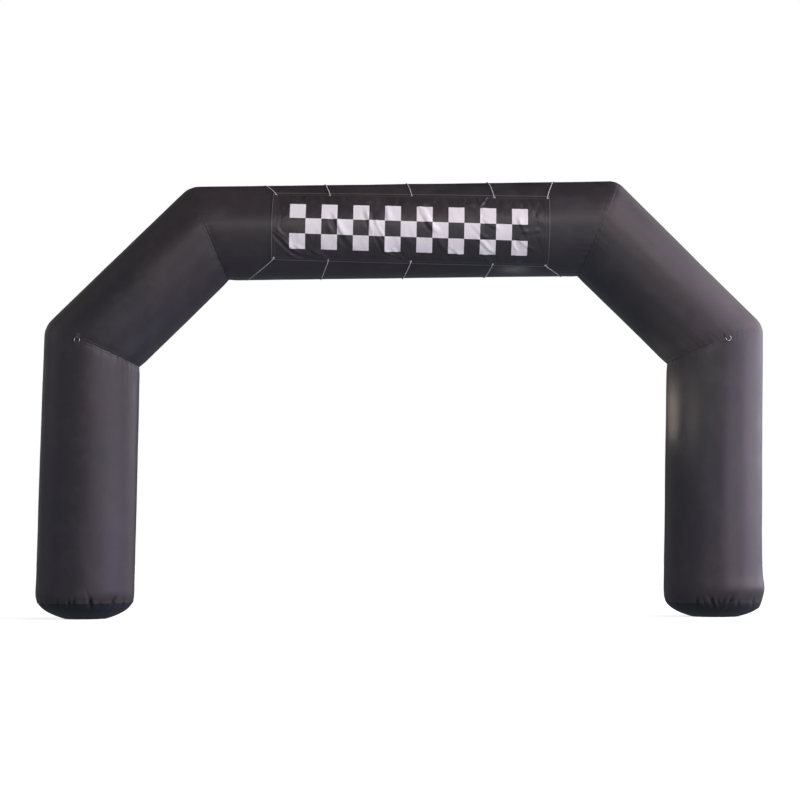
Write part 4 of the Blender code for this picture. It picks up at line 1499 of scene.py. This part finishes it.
def new_material(name, colour, roughness, metallic=0.0):
    """A fresh material with its shader's constant values set on the shader itself."""
    material = bpy.data.materials.new(name)
    material.use_nodes = True
    shader = material.node_tree.nodes["Principled BSDF"].inputs
    shader["Base Color"].default_value = (*colour, 1.0)
    shader["Roughness"].default_value = roughness
    shader["Metallic"].default_value = metallic
    material.diffuse_color = (*colour, 1.0)
    return material, shader, Wiring(material.node_tree)


def place_group(wire, name, **inputs):
    """Places a shared group, built on its first use, and feeds its inputs."""
    tree = bpy.data.node_groups.get(name) or GROUPS[name]()
    node = wire.node("ShaderNodeGroup", node_tree=tree)
    for label, value in inputs.items():
        wire.feed(node.inputs[label], value)
    return node.outputs


def add_bump(wire, shader, *layers):
    """Stacks bumps of (height, strength, distance) on those that the shader already has."""
    socket = shader["Normal"]
    normal = socket.links[0].from_socket if socket.links else None
    for height, strength, distance in layers:
        bump = wire.node("ShaderNodeBump")
        wire.feed(bump.inputs["Strength"], strength)
        wire.feed(bump.inputs["Distance"], distance)
        wire.feed(bump.inputs["Height"], height)
        if normal is not None:
            wire.feed(bump.inputs["Normal"], normal)
        normal = bump.outputs["Normal"]
    wire.feed(socket, normal)


def coated_fabric(name, colour, roughness, thread, dust, seam_attribute="seam_distance"):
    """Coated polyester: plain weave under a satin coat with painted shade in its gaps, darker near
    the seams (partly dirt, partly painted shade in the seam groove), faint creases.
    """
    material, shader, wire = new_material(name, colour, roughness)
    shader["Specular IOR Level"].default_value = 0.4
    weave = place_group(wire, "plain_weave", Cloth=wire.cloth(), Thread=thread)
    handled = place_group(wire, "handling", Place=wire.place(), Base=(*colour, 1.0), Dust=dust)
    # Darker near the seams: partly seam dirt, partly painted shade in the seam's groove.
    groove = wire.spread(wire.attribute(seam_attribute), 0.0, 0.005, 0.10, 0.0)
    shaded = wire.blend(groove, handled["Color"], (0.010, 0.010, 0.012, 1.0))
    # Gaps between the threads darkened: painted shade.
    gap_shade = wire.maths("MULTIPLY", weave["Gaps"], 0.35)
    wire.feed(shader["Base Color"], wire.blend(gap_shade, shaded, SHADOW_COLOUR))
    gloss = wire.maths("ADD", handled["Gloss Shift"], roughness)
    wire.feed(shader["Roughness"], gloss)
    creases = (handled["Creases"], 0.22, 0.004)
    add_bump(wire, shader, creases, (weave["Height"], 0.25, thread * 0.25))
    return material, shader, wire


def tube_cloth(settings):
    """The skin's cloth with the closing seam that runs along the back of each panel."""
    material, shader, wire = coated_fabric("tube_cloth", settings.colour, 0.40, 0.0009, 0.05)
    around, along, _ = wire.split(wire.cloth())
    aside = wire.maths("SUBTRACT", around, BACK_SEAM_TURN * TUBE_RADIUS)
    seam = place_group(wire, "closing_seam", Aside=aside, Along=along)
    plain = shader["Base Color"].links[0].from_socket
    edge = wire.maths("MULTIPLY", seam["Edge"], 0.5)
    edged = wire.blend(edge, plain, SHADOW_COLOUR)
    sewn = wire.blend(seam["Thread"], edged, (0.10, 0.095, 0.10, 1.0))
    wire.feed(shader["Base Color"], sewn)
    add_bump(wire, shader, (seam["Height"], 0.9, 0.0009))
    return material


def foot_cloth(settings):
    """The coarser cloth of the feet, darker and bluer in colour: painted shade of their down-turned
    underside.
    """
    return coated_fabric("foot_cloth", settings.foot_shaded_colour, 0.50, 0.0014, 0.06)[0]


def band_mask(wire, cloth):
    """1 on the white squares of the chequered band, with slightly ragged print edges."""
    ragged = wire.maths("SUBTRACT", wire.grain(cloth, 260.0, 2.0), 0.5)
    ragged = wire.maths("MULTIPLY", ragged, 0.003)
    sides = ((BAND_START, BAND_LENGTH, BAND_COLUMNS), (BAND_FOOT, BAND_HEIGHT, BAND_ROWS))
    squares, inside = [], []
    for part, (start, size, count) in zip(wire.split(cloth), sides):
        here = wire.maths("SUBTRACT", wire.maths("ADD", part, ragged), start)
        square = wire.maths("DIVIDE", here, size / count)
        inside.append(wire.maths("GREATER_THAN", square, 0.0))
        inside.append(wire.maths("LESS_THAN", square, float(count)))
        squares.append(square)
    mask = wire.maths("SUBTRACT", 1.0, wire.squares(*squares))
    for value in inside:
        mask = wire.maths("MULTIPLY", mask, value)
    return mask


def banner_print(settings):
    """The banner's cloth: coated weave, a paler turned edge and stitch line (partly wear, partly a
    painted highlight of the taut hem) and the printed chequered band.
    """
    material, shader, wire = coated_fabric(
        "banner_print", settings.colour, 0.35, 0.0008, 0.05, "nothing"
    )
    cloth = wire.cloth()
    edge = wire.attribute("edge_distance")
    plain = shader["Base Color"].links[0].from_socket
    # Paler edge and hem stitch line: partly edge wear and pale stitching, partly a painted
    # highlight where the taut hem catches the light.
    edge_wear_and_highlight = wire.spread(edge, 0.002, 0.009, 0.30, 0.0)
    paler = wire.blend(edge_wear_and_highlight, plain, (0.42, 0.39, 0.38, 1.0))
    stitch_line_and_highlight = wire.spread(wire.gap(edge, settings.hem_width), 0.0, 0.004, 0.12, 0.0)
    paler = wire.blend(stitch_line_and_highlight, paler, (0.34, 0.31, 0.31, 1.0))
    worn_print = wire.spread(wire.grain(cloth, 45.0, 5.0, 0.65), 0.25, 0.42, 0.90, 1.0)
    mask = wire.maths("MULTIPLY", band_mask(wire, cloth), worn_print)
    printed = wire.blend(mask, paler, (*settings.print_colour, 1.0))
    wire.feed(shader["Base Color"], printed)
    return material


def thread_material(colour):
    """Polyester sewing thread with its twist."""
    material, shader, wire = new_material("sewing_thread", colour, 0.55)
    shader["Sheen Weight"].default_value = 0.3
    fuzz = wire.grain(wire.place(), 900.0, 2.0)
    paler = (*(1.6 * part for part in colour), 1.0)
    twist = wire.blend(wire.spread(fuzz, 0.3, 0.7), (*colour, 1.0), paler)
    wire.feed(shader["Base Color"], twist)
    add_bump(wire, shader, (fuzz, 0.3, 0.0003))
    return material


def cord_material(colour):
    """Braided cord: two families of strands crossing at a steep angle, a little soiled, with
    painted shade in the gaps between strands.
    """
    material, shader, wire = new_material("cord_braid", colour, 0.62)
    shader["Sheen Weight"].default_value = 0.25
    cloth = wire.cloth()
    turned = wire.node("ShaderNodeMapping")
    turned.inputs["Rotation"].default_value = (0.0, 0.0, radians(38))
    wire.feed(turned.inputs["Vector"], cloth)
    weave = place_group(wire, "plain_weave", Cloth=turned.outputs[0], Thread=0.0011)
    soil = wire.spread(wire.grain(cloth, 30.0, 4.0), 0.45, 0.75, 0.0, 0.35)
    soiled = wire.blend(soil, (*colour, 1.0), (0.30, 0.28, 0.26, 1.0))
    # Gaps between the strands darkened: painted shade.
    gap_shade = wire.maths("MULTIPLY", weave["Gaps"], 0.6)
    wire.feed(shader["Base Color"], wire.blend(gap_shade, soiled, (0.16, 0.15, 0.15, 1.0)))
    add_bump(wire, shader, (weave["Height"], 0.8, 0.0004))
    return material


def nickel_material(colour):
    """Nickel plate with fine scratches and duller patches."""
    material, shader, wire = new_material("nickel_plate", colour, 0.22, 1.0)
    place = wire.place()
    dull = wire.grain(place, 120.0, 3.0)
    wire.feed(shader["Roughness"], wire.spread(dull, 0.3, 0.7, 0.16, 0.34))
    tarnish = wire.blend(wire.spread(dull, 0.5, 0.8), (*colour, 1.0), (0.50, 0.48, 0.45, 1.0))
    wire.feed(shader["Base Color"], tarnish)
    add_bump(wire, shader, (wire.grain(place, 700.0, 6.0, 0.7), 0.06, 0.0002))
    return material


def webbing_material():
    """Black polyester webbing with its heavy ribs across."""
    colour = (0.050, 0.047, 0.050)
    material, shader, wire = new_material("ribbed_webbing", colour, 0.78)
    shader["Sheen Weight"].default_value = 0.3
    cloth = wire.cloth()
    weave = place_group(wire, "plain_weave", Cloth=cloth, Thread=0.0016)
    fluff = wire.spread(wire.grain(cloth, 400.0, 3.0), 0.5, 0.8, 0.0, 0.5)
    fluffy = wire.blend(fluff, (*colour, 1.0), (0.11, 0.105, 0.11, 1.0))
    wire.feed(shader["Base Color"], fluffy)
    add_bump(wire, shader, (weave["Height"], 0.9, 0.0006))
    return material


def shared_material(name, build, *values):
    """The material of that name, built on its first use."""
    return bpy.data.materials.get(name) or build(*values)


# ---------------------------------------------------------------- operators


class ARCH_OT_tube_skins(bpy.types.Operator):
    """Rolls, laps and puckers the skin of each tube panel"""

    bl_idname = "arch.tube_skins"
    bl_label = "Make Tube Skins"

    def execute(self, context):
        settings = context.scene.arch_tubes
        fabric = shared_material("tube_cloth", tube_cloth, settings)
        for name, panel in tube_panels().items():
            skin = make_skin(panel, settings)
            finish_piece(skin, name + "_skin", fabric, (name,))
        return {"FINISHED"}


class ARCH_OT_feet(bpy.types.Operator):
    """Makes the gathered foot panels"""

    bl_idname = "arch.feet"
    bl_label = "Make Feet"

    def execute(self, context):
        settings = context.scene.arch_tubes
        fabric = shared_material("foot_cloth", foot_cloth, settings)
        for side in SIDES:
            foot = make_foot(side, settings)
            node = "foot_" + side
            finish_piece(foot, node + "_skin", fabric, (node,))
        return {"FINISHED"}


class ARCH_OT_stitching(bpy.types.Operator):
    """Sews two rows of stitches beside each seam of the tubes"""

    bl_idname = "arch.stitching"
    bl_label = "Sew Seams"

    def execute(self, context):
        settings = context.scene.arch_tubes
        thread = shared_material("sewing_thread", thread_material, THREAD_COLOUR)
        panels = tube_panels()
        seams = {
            "foot_seam_left": ("leg_left", False),
            "shoulder_seam_left": ("arm_left", False),
            "crown_seam_left": ("arm_left", True),
            "crown_seam_right": ("arm_right", False),
            "shoulder_seam_right": ("arm_right", True),
            "foot_seam_right": ("leg_right", True),
        }
        for seam, (name, from_end) in seams.items():
            skin = bpy.data.objects[name + "_skin"]
            lines = [skin_line(skin, panels[name], row, from_end) for row in STITCH_ROWS]
            length = settings.stitch_length
            sew(seam + "_stitches", lines, length, THREAD_THICKNESS, thread, "tube_fabric")
        return {"FINISHED"}


class ARCH_OT_banner(bpy.types.Operator):
    """Makes the creased banner with its hem, holes and chequered band"""

    bl_idname = "arch.banner"
    bl_label = "Make Banner"

    def execute(self, context):
        settings = context.scene.arch_banner
        fabric = shared_material("banner_print", banner_print, settings)
        cloth = make_banner(settings)
        cut_eyelet_holes(cloth, context.scene.arch_fittings.eyelet_hole_radius + HOLE_SLACK)
        finish_piece(cloth, "banner_cloth", fabric, ("banner",))
        return {"FINISHED"}


class ARCH_OT_eyelets(bpy.types.Operator):
    """Makes the rolled metal eyelets of the banner"""

    bl_idname = "arch.eyelets"
    bl_label = "Make Eyelets"

    def execute(self, context):
        settings = context.scene.arch_fittings
        metal = shared_material("nickel_plate", nickel_material, tuple(settings.metal_colour))
        for node in eyelet_nodes():
            eyelet = make_eyelet(node, settings)
            finish_piece(eyelet, node + "_rolled", metal, (node,), METAL_SMOOTH)
        return {"FINISHED"}


class ARCH_OT_cords(bpy.types.Operator):
    """Lays the braided lacing cords round the crossbeam"""

    bl_idname = "arch.cords"
    bl_label = "Lace Cords"

    def execute(self, context):
        settings = context.scene.arch_fittings
        braid = shared_material("cord_braid", cord_material, tuple(settings.cord_colour))
        for number in range(1, CORD_COUNT + 1):
            node = "lacing_cord_{}".format(number)
            cord, route = make_cord(node, "eyelet_upper_{}".format(number), settings)
            cord_uv(cord, route, settings.cord_diameter / 2)
            finish_piece(cord, node + "_braid", braid, (node,))
        return {"FINISHED"}


class ARCH_OT_ring_tabs(bpy.types.Operator):
    """Folds and sews the webbing tabs and fits their D-rings"""

    bl_idname = "arch.ring_tabs"
    bl_label = "Fit Tabs and Rings"

    def execute(self, context):
        settings = context.scene.arch_fittings
        webbing = shared_material("ribbed_webbing", webbing_material)
        metal = shared_material("nickel_plate", nickel_material, tuple(settings.metal_colour))
        thread = shared_material("sewing_thread", thread_material, THREAD_COLOUR)
        for side in SIDES:
            tab = make_tab(side, settings)
            node = "ring_tab_" + side
            finish_piece(tab, node + "_webbing", webbing, (node,), METAL_SMOOTH)
            lines = tab_stitch_lines(side, settings)
            sizes = (TAB_STITCH_LENGTH, TAB_THREAD_THICKNESS)
            sew(node + "_stitches", lines, *sizes, thread, "black_webbing")
            ring = make_ring(side, settings)
            node = "d_ring_" + side
            finish_piece(ring, node + "_bent", metal, (node,))
        return {"FINISHED"}


class ARCH_OT_stage(bpy.types.Operator):
    """Sets the ground, the lights and the camera"""

    bl_idname = "arch.stage"
    bl_label = "Set Stage"

    def execute(self, context):
        settings = context.scene.arch_stage
        make_ground()
        make_world(settings.panel_strength)
        make_lights(settings.lamp_strength)
        make_camera(settings)
        return {"FINISHED"}


# ---------------------------------------------------------------- stage

# Soft light panels far round the arch: degrees from the front towards +X, degrees up, colour.
SOFT_PANELS = (
    (-140, 5, (0.25, 0.23, 0.22)),
    (-140, 28, (0.15, 0.14, 0.13)),
    (-90, 5, (0.35, 0.33, 0.46)),
    (-90, 28, (0.45, 0.39, 0.38)),
    (-45, 5, (0.32, 0.32, 0.44)),
    (20, 5, (0.46, 0.27, 0.53)),
    (45, 28, (1.27, 1.24, 1.38)),
    (70, 28, (2.60, 2.36, 2.80)),
    (100, 5, (0.42, 0.29, 0.44)),
    (100, 28, (0.58, 0.37, 0.36)),
    (130, 5, (1.30, 1.22, 1.38)),
    (130, 28, (0.74, 0.77, 0.78)),
)
SOFT_PANEL_EDGE = radians(30)
SOFT_PANEL_CORE = radians(8)

# Lamps near the arch: name, place, target, width, height, spread in degrees, watts, colour.
LAMPS = (
    ("side_lamp", (6.2, -0.8, 1.6), (2.6, 0.0, 1.6), 2.0, 3.0, 180, 57.2, (0.88, 0.79, 1.00)),
    ("rim_lamp", (6.2, 1.0, 1.6), (2.6, 0.0, 1.6), 2.0, 3.0, 180, 22.2, (0.79, 0.82, 1.00)),
    ("high_lamp_back", (7.0, 0.5, 6.0), (1.5, 0.0, 3.0), 3.0, 3.0, 180, 41.4, (0.98, 0.79, 1.00)),
    ("low_lamp_right", (5.5, -5.0, 1.2), (2.6, 0.0, 1.2), 3.0, 2.0, 180, 58.8, (0.92, 0.81, 1.00)),
    ("low_lamp_left", (0.5, -6.0, 1.2), (-2.6, 0.0, 1.2), 3.0, 2.0, 180, 22.9, (1.00, 0.86, 1.00)),
    ("beam_lamp_right", (4.0, -5.0, 6.0), (2.0, 0.0, 3.0), 3.0, 0.8, 180, 55.2, (1.00, 0.77, 0.70)),
    ("beam_lamp", (0.0, -6.0, 4.4), (0.0, 0.0, 3.3), 6.0, 0.8, 180, 74.4, (1.00, 0.99, 0.85)),
    ("inner_lamp", (-0.8, -0.4, 0.6), (-2.6, 0.0, 0.9), 1.0, 1.0, 180, 3.9, (0.46, 0.49, 1.00)),
    ("warm_lamp", (1.68, 0.40, 1.78), (2.6, 0.0, 1.84), 0.80, 0.40, 70, 0.75, (1.0, 0.86, 0.74)),
    ("warm_glow", (1.35, -0.80, 1.75), (2.6, 0.0, 1.84), 0.80, 0.50, 70, 0.50, (1.0, 0.86, 0.74)),
    ("under_lamp", (1.0, 0.20, 2.40), (1.0, -0.14, 2.91), 0.16, 0.12, 90, 0.07, (0.92, 0.97, 1.0)),
)


# Ground as other rays meet it and as the camera does: glow, its strength, colour in the light.
GROUND_UNSEEN = ((0.130, 0.150, 0.162, 1.0), 1.0, (0.10, 0.12, 0.16, 1.0))
GROUND_SEEN = ((1.0, 1.0, 1.0, 1.0), 0.80, (0.8, 0.8, 0.8, 1.0))


def by_camera(wire, output, unseen, seen):
    """One surface for the camera's own rays and another for all others."""
    path = wire.node("ShaderNodeLightPath")
    mix = wire.node("ShaderNodeMixShader")
    values = (path.outputs["Is Camera Ray"], unseen.outputs[0], seen.outputs[0])
    for socket, value in zip(mix.inputs, values):
        wire.feed(socket, value)
    wire.feed(output.inputs["Surface"], mix.outputs[0])


def make_ground():
    """Pale ground, seen white, that throws little light back up."""
    ground = added(bpy.ops.mesh.primitive_plane_add, size=400.0, location=(0.0, 0.0, -0.001))
    ground.name = "ground"
    material = bpy.data.materials.new("ground")
    material.use_nodes = True
    wire = Wiring(material.node_tree)
    material.node_tree.nodes.remove(material.node_tree.nodes["Principled BSDF"])
    output = material.node_tree.nodes["Material Output"]
    sides = []
    for glow, strength, colour in (GROUND_UNSEEN, GROUND_SEEN):
        parts = wire.node("ShaderNodeEmission"), wire.node("ShaderNodeBsdfDiffuse")
        parts[0].inputs["Color"].default_value = glow
        parts[0].inputs["Strength"].default_value = strength
        parts[1].inputs["Color"].default_value = colour
        both = wire.node("ShaderNodeAddShader")
        for socket, part in zip(both.inputs, parts):
            wire.feed(socket, part.outputs[0])
        sides.append(both)
    by_camera(wire, output, *sides)
    ground.data.materials.append(material)


def compass(azimuth, elevation):
    """Direction at degrees from the front towards +X and degrees above the horizon."""
    turn, lift = radians(azimuth), radians(elevation)
    return Vector((sin(turn) * cos(lift), -cos(turn) * cos(lift), sin(lift)))


def make_world(strength):
    """White behind the arch; all round it, dark with large soft light panels."""
    world = bpy.data.worlds.new("studio")
    bpy.context.scene.world = world
    world.use_nodes = True
    wire = Wiring(world.node_tree)
    panels = world.node_tree.nodes["Background"]
    panels.inputs["Strength"].default_value = strength
    output = world.node_tree.nodes["World Output"]
    direction = wire.node("ShaderNodeTexCoord").outputs["Generated"]
    total = None
    for azimuth, elevation, colour in SOFT_PANELS:
        facing = wire.node("ShaderNodeVectorMath", operation="DOT_PRODUCT")
        wire.feed(facing.inputs[0], direction)
        wire.feed(facing.inputs[1], compass(azimuth, elevation))
        inside = wire.spread(
            facing.outputs["Value"], cos(SOFT_PANEL_EDGE), cos(SOFT_PANEL_CORE)
        )
        glow = wire.node("ShaderNodeVectorMath", operation="SCALE")
        wire.feed(glow.inputs[0], colour)
        wire.feed(glow.inputs["Scale"], inside)
        if total is None:
            total = glow.outputs[0]
        else:
            joined = wire.node("ShaderNodeVectorMath", operation="ADD")
            wire.feed(joined.inputs[0], total)
            wire.feed(joined.inputs[1], glow.outputs[0])
            total = joined.outputs[0]
    wire.feed(panels.inputs["Color"], total)
    white = wire.node("ShaderNodeBackground")
    white.inputs["Color"].default_value = (1.0, 1.0, 1.0, 1.0)
    by_camera(wire, output, panels, white)


def make_lights(strength):
    """The near lamps, unseen by the camera."""
    for name, place, target, width, height, spread, power, colour in LAMPS:
        lamp = added(bpy.ops.object.light_add, type="AREA", location=place)
        lamp.name = name
        lamp.data.shape = "RECTANGLE"
        lamp.data.size, lamp.data.size_y = width, height
        lamp.data.spread = radians(spread)
        lamp.data.energy = power * strength
        lamp.data.color = colour
        aim = Vector(target) - Vector(place)
        lamp.rotation_euler = aim.to_track_quat("-Z", "Y").to_euler()
        lamp.visible_camera = False


def make_camera(settings):
    camera = added(bpy.ops.object.camera_add, location=settings.camera_place)
    camera.name = "camera"
    look = Matrix.Rotation(radians(90) + settings.camera_pitch, 4, "X")
    roll = Matrix.Rotation(settings.camera_roll, 4, "Z")
    camera.matrix_world = Matrix.Translation(settings.camera_place) @ look @ roll
    camera.data.lens = settings.lens
    camera.data.sensor_width = 36.0
    bpy.context.scene.camera = camera
    bpy.context.scene.view_settings.view_transform = "Standard"


# ---------------------------------------------------------------- sidebar and run

STEPS = (
    ARCH_OT_tube_skins,
    ARCH_OT_feet,
    ARCH_OT_stitching,
    ARCH_OT_banner,
    ARCH_OT_eyelets,
    ARCH_OT_cords,
    ARCH_OT_ring_tabs,
    ARCH_OT_stage,
)


class ARCH_PT_sidebar(bpy.types.Panel):
    """Settings and steps of the arch's finish"""

    bl_idname = "ARCH_PT_sidebar"
    bl_label = "Inflatable Arch"
    bl_space_type = "VIEW_3D"
    bl_region_type = "UI"
    bl_category = "Arch"

    def draw(self, context):
        for key, group in SETTINGS.items():
            box = self.layout.box()
            for name in group.__annotations__:
                box.prop(getattr(context.scene, key), name)
        for step in STEPS:
            self.layout.operator(step.bl_idname)


CLASSES = tuple(SETTINGS.values()) + STEPS + (ARCH_PT_sidebar,)


def register():
    for cls in CLASSES:
        bpy.utils.register_class(cls)
    for key, group in SETTINGS.items():
        setattr(bpy.types.Scene, key, PointerProperty(type=group))


def unregister():
    for key in SETTINGS:
        delattr(bpy.types.Scene, key)
    for cls in reversed(CLASSES):
        bpy.utils.unregister_class(cls)


def main():
    register()
    bpy.ops.arch.tube_skins()
    bpy.ops.arch.feet()
    bpy.ops.arch.stitching()
    bpy.ops.arch.banner()
    bpy.ops.arch.eyelets()
    bpy.ops.arch.cords()
    bpy.ops.arch.ring_tabs()
    bpy.ops.arch.stage()


if __name__ == "__main__":
    main()
